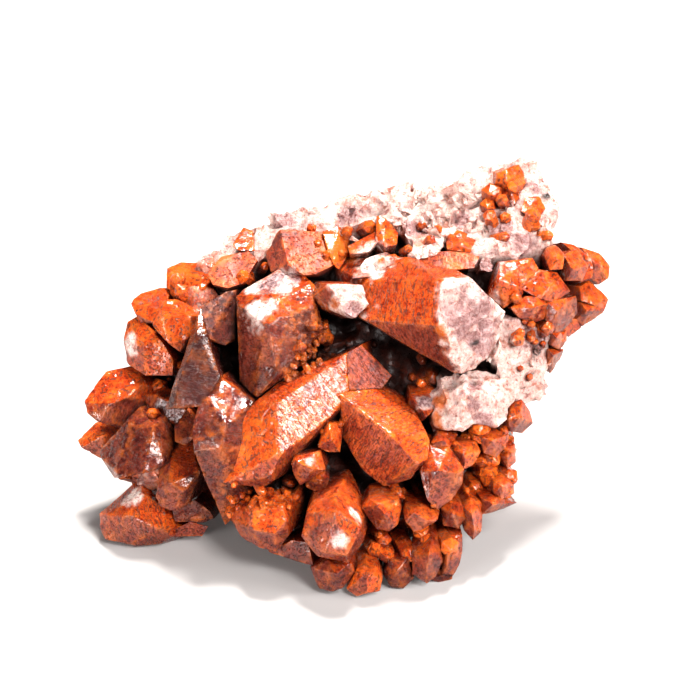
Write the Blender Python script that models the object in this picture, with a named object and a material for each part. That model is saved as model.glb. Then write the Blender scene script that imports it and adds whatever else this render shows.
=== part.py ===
"""A red quartz cluster, grown together as one solid. Metres, +Z up; the display side faces -Y.

Each large crystal is the convex body round its own corners. A corner is written as (across, up, out)
in millimetres, in the display plane: across is to the right, up is in the plane, and out is towards an
eye that looks at the display side from EYE away. The plane leans back by DISPLAY_TILT and its middle is
LIFT above the floor. The eye sees near things larger, so a corner that is further out is drawn in
towards the middle.
"""

import math
import random

import bmesh
import bpy
from mathutils import Vector

NODE = "quartz_cluster"
MM = 0.001
DISPLAY_TILT = math.radians(30)
EYE = 787.5
LIFT = 36.0
CENTRE = (-1.563, 3.102)  # x and y that the middle of the solid's box has before it moves to the origin
POINT_SLOPE = math.radians(51.8)  # quartz: from the long axis to the normal of a face at the point
BELOW = 0.4  # side of the cube that takes off what is below the floor, in metres
SEED = 11
LEAN = 0.35  # how far a small crystal strays from the way that its patch points
ROOTED = 1.2  # how many of its own thicknesses a small crystal reaches into the body
BLUNTER = math.radians(8)  # how much a small crystal's point opens beyond that of a large one
LENGTHS = (0.9, 1.5)  # shortest and longest small crystal, in its own thicknesses
LUMP_CORNERS = 18
LUMP_SPREAD = (0.88, 1.08)  # how far in and out of its ellipsoid a lump's corners lie
FLAT = math.radians(0.2)  # faces that meet at less than this are one flat

# name: (where the root lies from the corners, the corners)
CRYSTALS = {
    "diagonal prism": ((4, 2, -9), (
        (-17.3, -5.5, 16), (-0.7, 6.2, 11), (-15.8, -17, 17.4), (-0.3, -2.2, 12), (-3, -7, 13.5),
        (-21, -4.3, 10), (-14, 0.9, 7.5), (2.5, 8, 3.5), (-26, -10, 8.8), (-28.5, -19, 8.6),
        (-28.8, -23.2, 9.3), (-18, -21.8, 14.5), (-19.5, -24.3, 10), (-13, -20, 9),
    )),
    "diagonal prism, inner end": ((0, 0, -10), (
        (-0.7, 6.2, 11), (2.5, 8, 8.5), (9.5, 1, 6.5), (7, -2, 8), (-0.3, -2.2, 12),
    )),
    "front prism": ((-3, 5, -10), (
        (-2.4, -2.8, 13), (9, -12, 18.2), (15.5, -18.6, 20), (5.5, -1.5, 8), (15.8, -9, 13),
        (18, -13.5, 16), (17.4, -17.6, 18), (-2, -12.5, 9), (3, -20.5, 11), (8, -24, 12),
        (13.5, -22.3, 15), (3.4, -8, 15.8),
    )),
    "broken prism": ((-13, 1, -11), (
        (2.7, 22.4, 6), (20.6, 22.5, 17), (20.2, 12, 18.4), (22.6, 6.3, 17.2), (3.2, 13.5, 8),
        (27, 23.2, 12), (30, 19.5, 12), (35, 15.5, 9.5), (33.5, 9, 10.5), (31, 5, 12.5), (28.5, 2, 14),
        (24, 1.3, 16),
    )),
    "upper long prism": ((-4, -1, -8), (
        (9, 24, 3), (9.5, 27, 0), (21.5, 29.2, 4), (29.8, 28.6, 2), (28, 25.2, 6), (22, 24.8, 8),
        (16.5, 23.7, 8),
    )),
    "pale top face": ((0, -2, -9), (
        (0.5, 22.9, 6.5), (3.5, 27.4, 2), (8, 29, 1), (10.5, 27.7, 2), (10.5, 24, 6),
    )),
    "white topped block": ((0, -1, -11), (
        (-25.6, 18.8, 5), (-24.8, 8, 4), (-24.8, -0.8, 4.5), (-20.8, -3.9, 8), (-16.3, 1.3, 12),
        (-18.3, 12.7, 13.5), (-22, 13.8, 10.3), (-16.8, 18.2, 10), (-16, 14.5, 12.6), (-24, 20.4, 4),
        (-16, 25, 1), (-12, 25.4, 0), (-8, 21.5, 5), (-8.3, 16.5, 8), (-6, 11, 5), (-9, 4.5, 6),
        (-14.5, 1.5, 10),
    )),
    "striped block": ((2, -1, -9), (
        (-16, 33.9, -3), (-13.7, 26, 4), (-19, 28.5, -4), (-18, 24.3, -1), (-9, 32.5, -4), (-6, 33.4, -5),
        (-3.5, 26, 0), (-7.5, 23.8, 3), (-10.5, 23.6, 4.3),
    )),
    "orange slab": ((1, -1, -8), (
        (-6.3, 33.5, -4), (-2.5, 34.7, -5), (-0.3, 33, -6), (-0.6, 28, -2), (-2.5, 24.6, 0.5),
        (-4.3, 26.5, 1),
    )),
    "upper left block": ((1, -1, -9), (
        (-32, 23.8, -6), (-29, 27.7, -9), (-23, 29, -9), (-20.8, 26.8, -7), (-24, 21.8, -2),
        (-27.5, 20.6, -1.5), (-31, 21.4, -3),
    )),
    "broken short crystal": ((-3, 0, -11), (
        (-8.9, 19, 6), (-7, 22.3, 5), (2.8, 21.9, 6), (4.4, 17, 9), (1.2, 13.8, 11), (-1, 15.3, 11.8),
        (-4.3, 20.9, 11.5), (-6, 16, 7),
    )),
    "dark long prism": ((1, 0, -9), (
        (-33.3, 16, 3), (-36.3, 9.8, 5), (-39.6, -1, 7), (-41.2, -6.6, 7), (-34.8, 10, 8.5),
        (-38.3, 0.5, 10), (-39.3, -6, 10), (-32.6, 9.9, 8.5), (-31.6, 4, 9.2), (-29, 0.8, 9),
        (-33.5, -6, 9.5),
    )),
    "dark prism, upper end": ((1, 0, -9), (
        (-33.3, 16.6, 1.5), (-28, 19.9, 0), (-25.6, 20.3, -1), (-25.9, 9, 1), (-28.3, 7.7, 3),
        (-32, 9.6, 5.5), (-35.6, 10.3, 6),
    )),
    "streaked prism": ((3, 2, -10), (
        (-29.3, 0.7, 6), (-32.6, -1.5, 7.5), (-34.2, -5, 9), (-35.2, -10, 11), (-35.2, -15.9, 13),
        (-28.9, -15.2, 14.8), (-28.4, -10.3, 14.3), (-21, -4.5, 8), (-33, -21.5, 9.5), (-27.8, -32.4, 2),
        (-22.3, -26.8, 5), (-24.5, -16, 11),
    )),
    "low left prism": ((8, -2, -6), (
        (-60, -5, -10), (-59, -7.7, -9), (-58.6, -3, -12), (-55, 1.8, -14), (-48, 3.4, -14),
        (-46.6, 2.6, -13), (-46.4, -0.9, -9), (-53.5, -5.2, -5.5), (-56.5, -9.7, -8), (-53, -9.8, -8.5),
        (-50, -4, -6),
    )),
    "far left point": ((8, 1, -4), (
        (-61.3, -13.8, -16), (-57, -9.5, -18), (-54, -9.2, -18), (-55.5, -12.5, -12.5), (-56, -17.9, -15),
        (-60.3, -15.3, -15),
    )),
    "purple pyramid": ((4, 1, -9), (
        (-47.3, -6.1, -5), (-56, -15.4, -8), (-56.4, -17, -7.5), (-53, -22.2, -4), (-50.3, -9.3, -2.5),
        (-51.8, -21.6, 0.5), (-46, -20.9, 3), (-41.5, -18.9, 2), (-40, -14, -1), (-39.8, -7, -7),
        (-44.5, -10.6, 1.8),
    )),
    "mid left crystal": ((2, -1, -9), (
        (-44.5, 12.3, -2.5), (-42.3, 14.3, -1), (-42, 17.9, -6), (-39, 18.2, -7), (-33, 15.4, -5),
        (-32.6, 14, -3), (-36, 9.5, -0.5), (-38.5, 6.4, -2), (-41, 8.1, -1), (-36, 14.6, -0.5),
    )),
    "upper left point": ((6, -2, -7), (
        (-49.3, 17, -10), (-47.5, 19, -13), (-43, 20.7, -14), (-40.5, 20.6, -14), (-41.3, 15.8, -7),
        (-44, 12.8, -7), (-47, 12.9, -9), (-48.4, 14.8, -9),
    )),
    "upper left lump": ((2, -1, -9), (
        (-41.5, 20.4, -12), (-41.3, 25, -16), (-38, 26.4, -18), (-32, 26, -15), (-30.5, 22, -9),
        (-33, 17.1, -7), (-38, 18.2, -9),
    )),
    "pale edged crystal": ((4, 0, -9), (
        (-50.1, 13, -12), (-51.1, 8.8, -12), (-50.3, 3.6, -12), (-46.5, 2.7, -8), (-46, 0.9, -7),
        (-40, 1, -5), (-39.8, 4.5, -4), (-42.5, 8.7, -3.5), (-44.5, 11, -6), (-47.5, 14.4, -11),
        (-46.3, 8, -6),
    )),
    "bottom left prism": ((6, 1, -9), (
        (-56.5, -30.5, -8), (-56.4, -33.5, -7), (-55.2, -35.9, -6), (-53.5, -36.4, -5.5), (-54, -30.2, -4),
        (-47.5, -25.6, -2), (-52, -25.9, -8), (-46.5, -22, -9), (-41.5, -28.5, -1), (-42, -33.5, 0),
        (-50, -36.7, -4), (-47.8, -37.5, -5), (-43, -37, -5), (-40, -35.5, -4), (-50, -30.5, -1.5),
    )),
    "rough brown crystal": ((4, 4, -9), (
        (-40.5, -15.4, -2), (-43, -21, 0), (-43.9, -26.3, 1), (-43, -28.4, 1.5), (-40, -29.5, 1.5),
        (-37, -28.6, 1), (-37.3, -25, 4), (-33.8, -21, 3), (-33, -19.6, 1), (-35.5, -14, -2),
        (-37.5, -13.6, -3), (-40.3, -23, 4.5),
    )),
    "dark base crystal": ((2, 2, -8), (
        (-40, -29.5, -2), (-35, -27, -1), (-31.5, -29.5, -2), (-30.5, -31.3, -3), (-33, -32.3, -4),
        (-39.5, -32, -3),
    )),
    "thin plate": ((0, 0, -6), (
        (-40.2, -34, -5), (-36, -32, -4), (-32, -33, -4.5), (-33.3, -35.2, -5.5), (-39.8, -35.3, -5.5),
    )),
    "small brown crystal": ((2, 2, -8), (
        (-39.7, -10.5, 0), (-36.2, -6, -1), (-34, -6.4, 2), (-34.5, -12, 4), (-37, -15, 2),
        (-39.6, -14, 1),
    )),
    "white faced crystal": ((1, 4, -10), (
        (-3.2, -29.3, 24), (2.4, -33.2, 22), (-0.5, -38.8, 21.5), (-5.6, -38.8, 20.5), (-9.8, -29.7, 17),
        (-10.9, -35, 16.5), (-3, -26.5, 21), (-2, -23.9, 15.5), (0.6, -27, 17), (2.8, -32, 19),
        (3.2, -35.8, 17), (-7.5, -39.4, 17.5), (-0.5, -41.1, 17.5), (-8.5, -27, 15.5),
    )),
    "front foot, left": ((1, 4, -9), (
        (-9, -42.1, 12), (-5, -40.4, 15), (0.3, -40.8, 15), (1.1, -43.2, 14), (-1.6, -47, 13),
        (-4, -47.7, 12.4), (-7, -47, 11), (-3.2, -43.5, 18),
    )),
    "front foot, middle": ((0, 4, -9), (
        (-1, -47, 11.5), (1.5, -42.2, 14), (3.5, -40.2, 13), (6.2, -41.2, 13), (7.4, -44.3, 12.5),
        (6.8, -47.3, 12), (1.5, -48.7, 12.6), (3.7, -43.5, 17), (4, -47.8, 14.5),
    )),
    "front foot, brown": ((0, 4, -9), (
        (7.3, -43.5, 10), (9, -40.5, 12), (13, -40, 11), (14.5, -44.5, 9), (12, -46.9, 9), (9, -46.6, 9),
        (10.5, -43, 13),
    )),
    "orange crystal": ((0, 3, -9), (
        (2.5, -28.6, 15), (4.3, -26.4, 16), (7.3, -25.3, 15), (10.7, -25.9, 15.5), (11.6, -29, 16),
        (11, -32.5, 16), (9, -34, 16), (5.8, -33.6, 15.5), (8, -30, 20), (6, -28, 19.5),
    )),
    "wedge crystal": ((0, 3, -9), (
        (11.8, -29.2, 14), (12.4, -27.7, 14), (16, -27.5, 14), (20.2, -29.5, 13), (19.6, -31.6, 14),
        (16.5, -33.4, 15), (14.3, -34.2, 14), (12.4, -31.6, 15), (14.5, -29.5, 17.5), (17.5, -31.5, 17),
    )),
    "lower point": ((0, 5, -9), (
        (14, -39.2, 12), (13.9, -43.7, 10.5), (15.3, -44.8, 10.3), (17.4, -45.9, 9.8), (19.3, -44.4, 10),
        (20.9, -41, 11), (20.1, -37.4, 12), (18.4, -35.5, 13), (17.7, -39.5, 15.5), (17.2, -43.5, 13.5),
    )),
    "right foot": ((-1, 4, -9), (
        (20.6, -36, 10), (22.5, -34.6, 10), (25.2, -34.4, 8), (25.6, -38, 7), (24.5, -41.7, 7),
        (23.2, -43.8, 7), (20.8, -43.5, 8), (22, -38.5, 12), (21.8, -42, 10),
    )),
    "right foot, brown": ((-1, 4, -8), (
        (19.5, -42.5, 7), (23.5, -42.8, 6.5), (23, -44.8, 5.5), (20, -45.5, 6), (17.5, -45, 7),
    )),
    "rough faced crystal": ((-1, 4, -10), (
        (15.7, -20.4, 16.5), (18, -14.4, 13), (22.3, -15.2, 13), (25.6, -20, 14), (25.4, -23, 13),
        (23.5, -26.2, 13), (19.8, -29, 14), (17.3, -26.7, 16), (19.5, -20.3, 18.5), (24.3, -20.6, 15.8),
    )),
    "small pink crystal": ((0, 2, -9), (
        (18, -14.2, 13), (19.6, -11.7, 12), (22.2, -11.5, 10), (24.3, -12.2, 9), (22.6, -15.2, 12),
        (20, -15.6, 13), (21, -13.5, 14),
    )),
    "red gloss crystal": ((-1, 2, -9), (
        (22.4, -15.3, 11), (24, -13.7, 11), (28.5, -13.6, 9), (29.5, -16, 9), (28.2, -18.7, 10),
        (25.5, -20.1, 11.5), (26, -16.5, 13.5),
    )),
    "pink dark crystal": ((-1, 3, -9), (
        (12.6, -5.6, 7), (13.7, -3.5, 8.5), (18, -1.6, 5), (20.3, -2.7, 6), (19.6, -6, 9),
        (17.4, -8.4, 12), (16.2, -9.3, 10), (14.8, -8.7, 8),
    )),
    "cavity crystal": ((-1, 1, -8), (
        (16.7, 2.3, 1), (18.5, 3.9, 0), (20.7, 3, 0), (21.6, 0.5, 1), (19.5, -1.9, 3), (17.2, -0.6, 3),
        (18.7, 1.5, 4.5),
    )),
    "small purple pyramid": ((0, 2, -10), (
        (-7.4, -15.1, 14), (-4.8, -9.8, 14), (-2.4, -12, 14), (-2.2, -16.3, 13), (-5.2, -16.2, 14),
        (-4.2, -13.2, 17), (-1.2, -9, 10), (-5.5, -8.5, 10),
    )),
    "pale edged pyramid": ((1, 2, -10), (
        (-13.3, -18.8, 15), (-12.6, -16.9, 15.5), (-6.6, -15.6, 14), (-5.5, -20, 15), (-8.2, -20, 17.8),
        (-12, -18.2, 17.8), (-11.2, -23.7, 13), (-12.6, -21.5, 13.5),
    )),
    "brown round crystal": ((0, 2, -9), (
        (-10.2, -21.3, 12), (-8.3, -19.9, 12), (-5.8, -20, 12), (-4.5, -22, 12), (-5.3, -24.6, 11),
        (-8, -25.3, 11), (-10, -24, 11), (-7.3, -22.3, 15),
    )),
    "rough round crystal": ((3, 4, -10), (
        (-25, -27.7, 7), (-26.9, -31.3, 5), (-23, -27.5, 9), (-18, -25.7, 10), (-14.3, -26.7, 11),
        (-12.2, -29.5, 11), (-13.5, -34.6, 13.5), (-16.5, -38.5, 11), (-20.5, -37.7, 10),
        (-24.3, -35.6, 7), (-21.7, -29.5, 14), (-15, -28.3, 15.5), (-14.5, -31.5, 16.3),
        (-21.8, -33.5, 14.5), (-17, -34.5, 16),
    )),
    "shaded ledge": ((2, 3, -8), (
        (-18.5, -38.6, 8), (-13, -36, 11.5), (-9.5, -36.3, 13), (-8.2, -41.7, 12), (-12, -40.8, 9),
    )),
    "right hanging point": ((-2, 4, -9), (
        (25.1, -28.5, 9), (27, -26.6, 9), (29.9, -27.2, 6), (29.6, -34, 5), (27.7, -36.1, 6),
        (25.8, -34.1, 7), (27.4, -30, 12), (28, -34, 9),
    )),
    "sparkling crystal": ((-1, 3, -9), (
        (20.4, -28.5, 12), (22.5, -27, 12), (25, -27.5, 10), (26.3, -31, 9), (24.5, -33.5, 9),
        (21, -32.8, 11), (23, -30, 14.5),
    )),
    "bright right crystal": ((-2, 2, -9), (
        (29, -12.5, 9), (32, -11, 7), (36, -12, 4), (35.3, -15, 5), (33, -17.5, 7), (30, -16.5, 9),
        (32, -13.5, 11),
    )),
    "right lower crystal": ((-3, 3, -8), (
        (32.2, -22.5, 6), (34, -21, 4), (36.7, -22, 2), (37, -25.5, 2), (34, -27, 5), (32.3, -25.5, 6),
        (34.2, -23.8, 8),
    )),
    "right lowest crystal": ((-3, 4, -8), (
        (29.5, -26.5, 7), (33, -26.2, 6), (37.5, -27.7, 1), (33.5, -29.6, 4), (29.8, -30.2, 6),
        (32, -28, 9),
    )),
    "right pink crystal": ((-3, 1, -8), (
        (34, -17, 5), (36, -14.5, 3), (37.6, -15.5, 1), (37.4, -18.5, 1), (35.5, -20, 3), (35.5, -17, 6),
    )),
    "right edge point": ((-5, 2, -7), (
        (35.5, -9, 7), (36.4, -5.8, 6), (38.5, -4.4, 3), (40.6, -7, 0), (41, -9.6, 0), (38.8, -12, 2),
        (36.2, -11.6, 6), (38.2, -8.5, 6.5),
    )),
    "right upper block": ((-2, 0, -10), (
        (33, 23.5, 9), (34, 26.7, 6), (41, 27.5, 4), (42.4, 25, 4), (40, 23, 6), (38, 21, 8),
        (38.2, 18.5, 7), (34.5, 16.1, 7), (31.5, 19, 8), (33.5, 22.5, 10.5),
    )),
    "right ridge crystal": ((-3, 0, -9), (
        (38, 20.7, 7), (42.6, 25, 4), (46.7, 24.2, 2), (49.6, 20, 0), (46, 17.3, 4), (42.5, 18.3, 7),
        (45, 21, 6),
    )),
    "right hollow crystal": ((-2, 1, -9), (
        (36, 16.3, 8), (39.5, 18.9, 7), (42.5, 19.3, 6), (45.3, 17.4, 4), (43.7, 13.5, 4), (41, 12.7, 6),
        (38, 14, 8), (41.5, 16.5, 9.5),
    )),
    "right side crystal": ((-3, 1, -9), (
        (44, 17.7, 5), (48, 18.2, 3), (51, 19, -1), (51.3, 15, -2), (48.5, 11.5, -1), (46.2, 9.8, 1),
        (44.3, 12, 4), (46.7, 15.5, 6),
    )),
    "right side point": ((-3, 1, -8), (
        (45, 11, 2), (47.5, 11, 0), (48.6, 8.4, -3), (47, 6.7, -2), (45.3, 7.8, 1), (46.5, 9.5, 3),
    )),
    "right edge crystal": ((-4, 1, -8), (
        (44.7, 7, 0), (48, 6.9, -4), (47.3, 4.5, -4), (45.2, 1.5, -3), (44.3, 3.5, 0), (45.8, 5.5, 1),
    )),
    "right dark facet": ((-2, 0, -9), (
        (43.6, 28, 1), (44.3, 29.8, 0), (46.3, 30.5, 0), (48.3, 28.3, 1), (47.8, 25, 4), (45, 24.7, 4),
        (46.6, 27, 5),
    )),
    "right clear crystal": ((-4, 0, -8), (
        (48, 28.2, 1), (51, 29.5, -3), (53.8, 25.8, -3), (52.3, 22.3, -2), (48.6, 22.3, 1), (50, 25, 3),
    )),
    "right shell crystal": ((-5, -1, -7), (
        (47.5, 31, -6), (50.5, 30.4, -6), (54, 27.8, -6), (55.2, 25, -6), (54.5, 22.6, -5), (52, 22, -3),
        (50, 29, -3),
    )),
    "rounded far crystal": ((-6, 0, -5), (
        (52, 30, -10), (56.3, 28.5, -11), (58.6, 25.5, -11), (58.3, 22.8, -10), (56, 21.2, -9),
        (54, 23, -7), (55.5, 26, -7),
    )),
    "pale far crystal": ((-6, 1, -5), (
        (51.6, 21, -5), (54, 22.4, -8), (56.5, 20, -9), (58.3, 18, -10), (57.3, 15.5, -9), (54.5, 17, -5),
        (52, 17.7, -4),
    )),
    "pink far crystal": ((-6, 1, -5), (
        (51.8, 17.5, -5), (55.7, 17, -7), (57.5, 15.5, -9), (55, 13.5, -8), (52.5, 12, -6), (51, 13.5, -5),
        (53.3, 15.5, -3.5),
    )),
    "low far crystal": ((-5, 1, -6), (
        (49, 14, -3), (52, 13.5, -6), (52, 11.8, -7), (50, 11.2, -5), (49.5, 9.5, -5), (47.8, 10.5, -3),
    )),
    "top orange crystal": ((-1, -3, -8), (
        (5.7, 31, 1), (6, 37, -2), (8, 36.6, -2), (11, 33, -1), (10.6, 30.4, 1), (8, 29.8, 3),
    )),
    "dark red crystal": ((0, -2, -7), (
        (-0.5, 30.2, 0), (6.2, 33.8, -3), (6.3, 31, 1), (4, 28.9, 2), (0, 28.3, 1),
    )),
    "top small block": ((0, -2, -8), (
        (21.8, 29.3, 3), (21.6, 31.2, 1), (24, 33.8, -2), (26, 33.3, -2), (29.2, 32, -1), (30, 30.5, 0),
        (29.6, 28.4, 2), (25, 30.5, 3),
    )),
    "summit crystal": ((1, -4, -6), (
        (33.5, 44.5, -8), (35, 47.5, -11), (38, 48.5, -12), (39.6, 46, -11), (39.2, 42, -8),
        (37, 39.5, -5), (34.3, 40.3, -5), (36.3, 43.5, -5.5),
    )),
    "summit lower crystal": ((0, -3, -7), (
        (38.4, 38, -4), (39.5, 41.2, -7), (42.7, 41.2, -8), (44, 38.5, -7), (42.5, 36.8, -5),
        (40.5, 36.6, -3),
    )),
    "top left orange": ((2, -2, -7), (
        (-26, 31.5, -12), (-24, 34.3, -15), (-22, 33.5, -14), (-21.3, 29, -9), (-25, 29, -9),
        (-26.5, 30, -10),
    )),
}

# Broken white quartz that the crystals grow on, written as the crystals are.
BROKEN_MATRIX = {
    "third broken crystal": ((-5, 3, -12), (
        (18.2, -8.5, 10), (19.7, -4.5, 11), (23, 0.1, 11), (28.5, 1.3, 10), (34, 1, 8), (38.5, -1, 5),
        (37, -6, 7), (35, -9.5, 8), (30, -11.2, 11), (24, -11, 13.3), (20.3, -11.7, 12), (26, -4.5, 15),
    )),
    "right fracture": ((-7, 0, -14), (
        (34, 14.5, 8), (41, 13, 5), (45, 10.5, 1), (46, 5, -2), (45, 0, -3), (43.8, -3.7, -2),
        (38.5, -5.7, 3), (34, -2, 7.5), (32.5, 6, 9.5),
    )),
    "mauve fracture": ((-2, -2, -9), (
        (28.2, 26.3, 6), (30, 29.2, 3), (33, 28.5, 3), (33.6, 26.2, 5), (32, 24, 7), (29, 24.6, 7.5),
    )),
    "top matrix, left": ((5, -8, -4), (
        (-36, 25.5, -17), (-30, 30.5, -17), (-22, 35, -16), (-14, 36.5, -15), (-12, 33, -9), (-20, 27, -7),
        (-31, 22, -9),
    )),
    "top matrix, middle": ((2, -9, -3), (
        (-18, 36, -14), (-9, 39.4, -14), (0, 41.2, -12), (7, 43.3, -13), (14, 43.8, -13), (14, 36, -6),
        (2, 32.5, -5), (-12, 31, -6),
    )),
    "white nose": ((-1, -4, -9), (
        (13, 28, 3), (14, 31, 1), (12, 36, -5), (16, 39, -9), (21.5, 38.5, -9), (22, 33, -3),
        (21.3, 29.2, 3), (18.5, 27.7, 5.5), (15.5, 26.9, 5.5),
    )),
    "top matrix, right": ((-2, -10, -3), (
        (14, 43, -12), (22, 44, -13), (31, 45.8, -13), (35, 49, -14), (38.5, 50, -14), (42.5, 48.5, -14),
        (46.8, 43.5, -12), (46.6, 40, -11), (46.9, 35.5, -9), (45.5, 32, -3), (38, 28, 3), (30, 28, 3),
        (22, 31, 0), (14, 36, -5), (36, 35, -1),
    )),
}

# The body behind the crystals, as corners (x, y, z) over the foot of the display plane's middle.
BODY = (
    (0, 2, 34), (-14, -7, 28), (14, -13, 22), (18, 3, 43), (-10, 12, 47), (8, 19, 55), (34, 16, 52),
    (36, 6, 33), (-34, 15, 43), (-43, 12, 27), (-39, -2, 10), (-22, -10, 10), (0, -22, 6), (16, -19, 6),
    (26, -12, 14), (-32, 24, 22), (-28, 28, 42), (0, 33, 60), (36, 31, 62), (40, 26, 44), (34, 24, 18),
    (28, 31, 38), (-10, 32, 28), (-14, 16, 2), (16, 14, 2),
)

# Lumps of the broken matrix at the back and under the body: (middle), (half of each side).
LUMPS = (
    ((-14, 14, 7), (15, 13, 12)),
    ((12, 20, 8), (17, 12, 13)),
    ((24, 4, 9), (11, 14, 12)),
    ((2, -4, 9), (17, 13, 11)),
    ((-24, 24, 26), (14, 9, 14)),
    ((-2, 29, 34), (15, 9, 16)),
    ((22, 27, 30), (14, 10, 15)),
    ((33, 27, 50), (11, 9, 14)),
    ((8, 32, 52), (16, 6, 11)),
    ((-18, 26, 44), (13, 7, 9)),
    ((-34, 14, 20), (9, 12, 11)),
    ((-30, 25, 48), (7, 7, 6)),
    ((-19, 29, 54), (8, 7, 6)),
    ((-7, 31, 57), (8, 8, 6)),
    ((5, 32, 59), (8, 7, 6)),
    ((17, 33, 60), (8, 8, 6)),
    ((28, 34, 63), (8, 7, 6)),
    ((38, 33, 66), (6, 7, 6)),
    ((42, 29, 58), (5, 7, 8)),
)

# Small crystals: (middle of the patch as across, up, out), (half its width, half its height), how many,
# (least, most) thickness in millimetres, (across, up, out) that they point to.
PATCHES = (
    ((30, -20, 0), (4.5, 6.5), 14, (3.5, 5.5), (0.35, -0.1, 0.9)),
    ((28, -8, 6), (5, 3), 3, (2.5, 4), (0.3, -0.5, 0.9)),
    ((17, -35, 7), (5, 3), 5, (3, 5), (0.1, -0.4, 0.9)),
    ((7, -37, 8), (3, 3), 4, (3, 4), (0, -0.3, 1)),
    ((-11, -22, 4), (4, 4), 4, (3, 4.5), (-0.1, -0.3, 1)),
    ((-45, -4, -13), (3, 3), 3, (3, 4), (0.1, 0.2, 1)),
    ((-49, -22, -9), (2, 1), 2, (3, 5), (-0.3, 0.2, 0.9)),
    ((17, 8, -2), (5, 3), 4, (3, 4), (0.1, -0.3, 1)),
    ((-6, 9, -1), (3, 5), 3, (3, 4), (0.3, -0.3, 1)),
    ((44, 13.5, -6), (2.5, 4.5), 5, (3.5, 5.5), (0.4, 0.1, 0.8)),
)

# The same on the sides that the display side hides: (middle x, y, z), (half of each side), how many,
# (least, most) thickness, (x, y, z) that they point to.
SIDE_PATCHES = (
    ((-39, 10, 20), (2, 8, 8), 7, (5, 9), (-1, 0.2, 0.1)),
    ((-32, 24, 30), (4, 2, 8), 5, (5, 9), (-0.6, 0.8, 0.2)),
    ((36, 20, 36), (2, 6, 8), 5, (5, 8), (0.8, 0.6, 0.1)),
    ((29, 8, 12), (3, 7, 5), 5, (5, 8), (0.8, 0.3, 0)),
    ((-8, 34, 18), (14, 2, 7), 5, (6, 9), (-0.1, 1, 0.1)),
    ((16, 34, 40), (12, 2, 8), 4, (6, 9), (0.2, 1, 0.2)),
)


def at_display(across, up, out):
    """A place in the display plane's terms, in metres in the part's own frame."""
    nearness = 1 - out / EYE
    across, up = across * nearness, up * nearness
    back = up * math.sin(DISPLAY_TILT) - out * math.cos(DISPLAY_TILT)
    height = LIFT + up * math.cos(DISPLAY_TILT) + out * math.sin(DISPLAY_TILT)
    return at_floor(across, back, height)


def at_floor(x, y, z):
    return Vector((x - CENTRE[0], y - CENTRE[1], z)) * MM


def convex_body(name, corners):
    """The convex body round the corners, as a joining piece for the Boolean."""
    mesh = bmesh.new()
    for corner in corners:
        mesh.verts.new(corner)
    hull = bmesh.ops.convex_hull(mesh, input=mesh.verts)
    bmesh.ops.delete(mesh, geom=list(set(hull["geom_interior"] + hull["geom_unused"])), context="VERTS")
    bmesh.ops.recalc_face_normals(mesh, faces=mesh.faces)
    data = bpy.data.meshes.new(name)
    mesh.to_mesh(data)
    mesh.free()
    return bpy.data.objects.new(name, data)


def large_crystal(name, root, corners):
    front = [at_display(*corner) for corner in corners]
    behind = [at_display(*(c + r for c, r in zip(corner, root))) for corner in corners]
    return convex_body(name, front + behind)


def small_crystal(name, foot, tip, thickness, turn):
    """A six-sided prism with a six-faced point, whose long axis runs from foot to tip."""
    axis = (tip - foot).normalized()
    across = axis.orthogonal().normalized()
    side = axis.cross(across)
    point = thickness / 2 / math.tan(math.pi / 2 - POINT_SLOPE + BLUNTER)
    shoulder = tip - axis * point
    corners = [tip]
    for k in range(6):
        angle = turn + k * math.pi / 3
        radial = (across * math.cos(angle) + side * math.sin(angle)) * thickness / 2
        corners += [foot + radial, shoulder + radial]
    return convex_body(name, corners)


def crowd(chance, place, label, middle, halves, count, thicknesses, points_to):
    """One patch of small crystals; place turns its measures into the part's own frame."""
    made = []
    for which in range(count):
        foot = [m + half * chance.uniform(-1, 1) for m, half in zip(middle, halves)]
        thickness = chance.uniform(*thicknesses)
        lean = [p + chance.uniform(-LEAN, LEAN) for p in points_to]
        size = math.sqrt(sum(part * part for part in lean))
        lean = [part / size * thickness for part in lean]
        length = chance.uniform(*LENGTHS)
        tip = [f + part * length for f, part in zip(foot, lean)]
        root = [f - part * ROOTED for f, part in zip(foot, lean)]
        turn = chance.uniform(0, math.pi / 3)
        made.append(small_crystal(f"{label}.{which}", place(*root), place(*tip), thickness * MM, turn))
    return made


def small_crystals():
    """The crystals that crowd between the large ones, and those on the hidden sides."""
    chance = random.Random(SEED)
    made = []
    for number, (middle, halves, *rest) in enumerate(PATCHES):
        made += crowd(chance, at_display, f"front {number}", middle, (*halves, 0), *rest)
    for number, patch in enumerate(SIDE_PATCHES):
        made += crowd(chance, at_floor, f"side {number}", *patch)
    return made


def lump(chance, name, middle, halves):
    """A broken lump: the convex body round points scattered over an ellipsoid."""
    corners = []
    for _ in range(LUMP_CORNERS):
        away = Vector([chance.gauss(0, 1) for _ in range(3)]).normalized()
        away *= chance.uniform(*LUMP_SPREAD)
        corners.append(at_floor(*(m + half * part for m, half, part in zip(middle, halves, away))))
    return convex_body(name, corners)


def lumps():
    chance = random.Random(SEED)
    return [lump(chance, f"lump {number}", *row) for number, row in enumerate(LUMPS)]


def box_below_floor():
    """A cutter that takes off what would reach below the floor."""
    data = bpy.data.meshes.new("below floor")
    mesh = bmesh.new()
    bmesh.ops.create_cube(mesh, size=BELOW)
    bmesh.ops.translate(mesh, verts=mesh.verts, vec=(0, 0, -BELOW / 2))
    mesh.to_mesh(data)
    mesh.free()
    cutter = bpy.data.objects.new("below floor", data)
    cutter.hide_render = True
    cutter.display_type = "WIRE"
    return cutter


def islands(mesh):
    """The mesh's faces in groups that hang together."""
    left = set(mesh.faces)
    groups = []
    while left:
        group = []
        reached = [left.pop()]
        while reached:
            face = reached.pop()
            group.append(face)
            near = {other for edge in face.edges for other in edge.link_faces} & left
            left -= near
            reached += near
        groups.append(group)
    return groups


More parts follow.
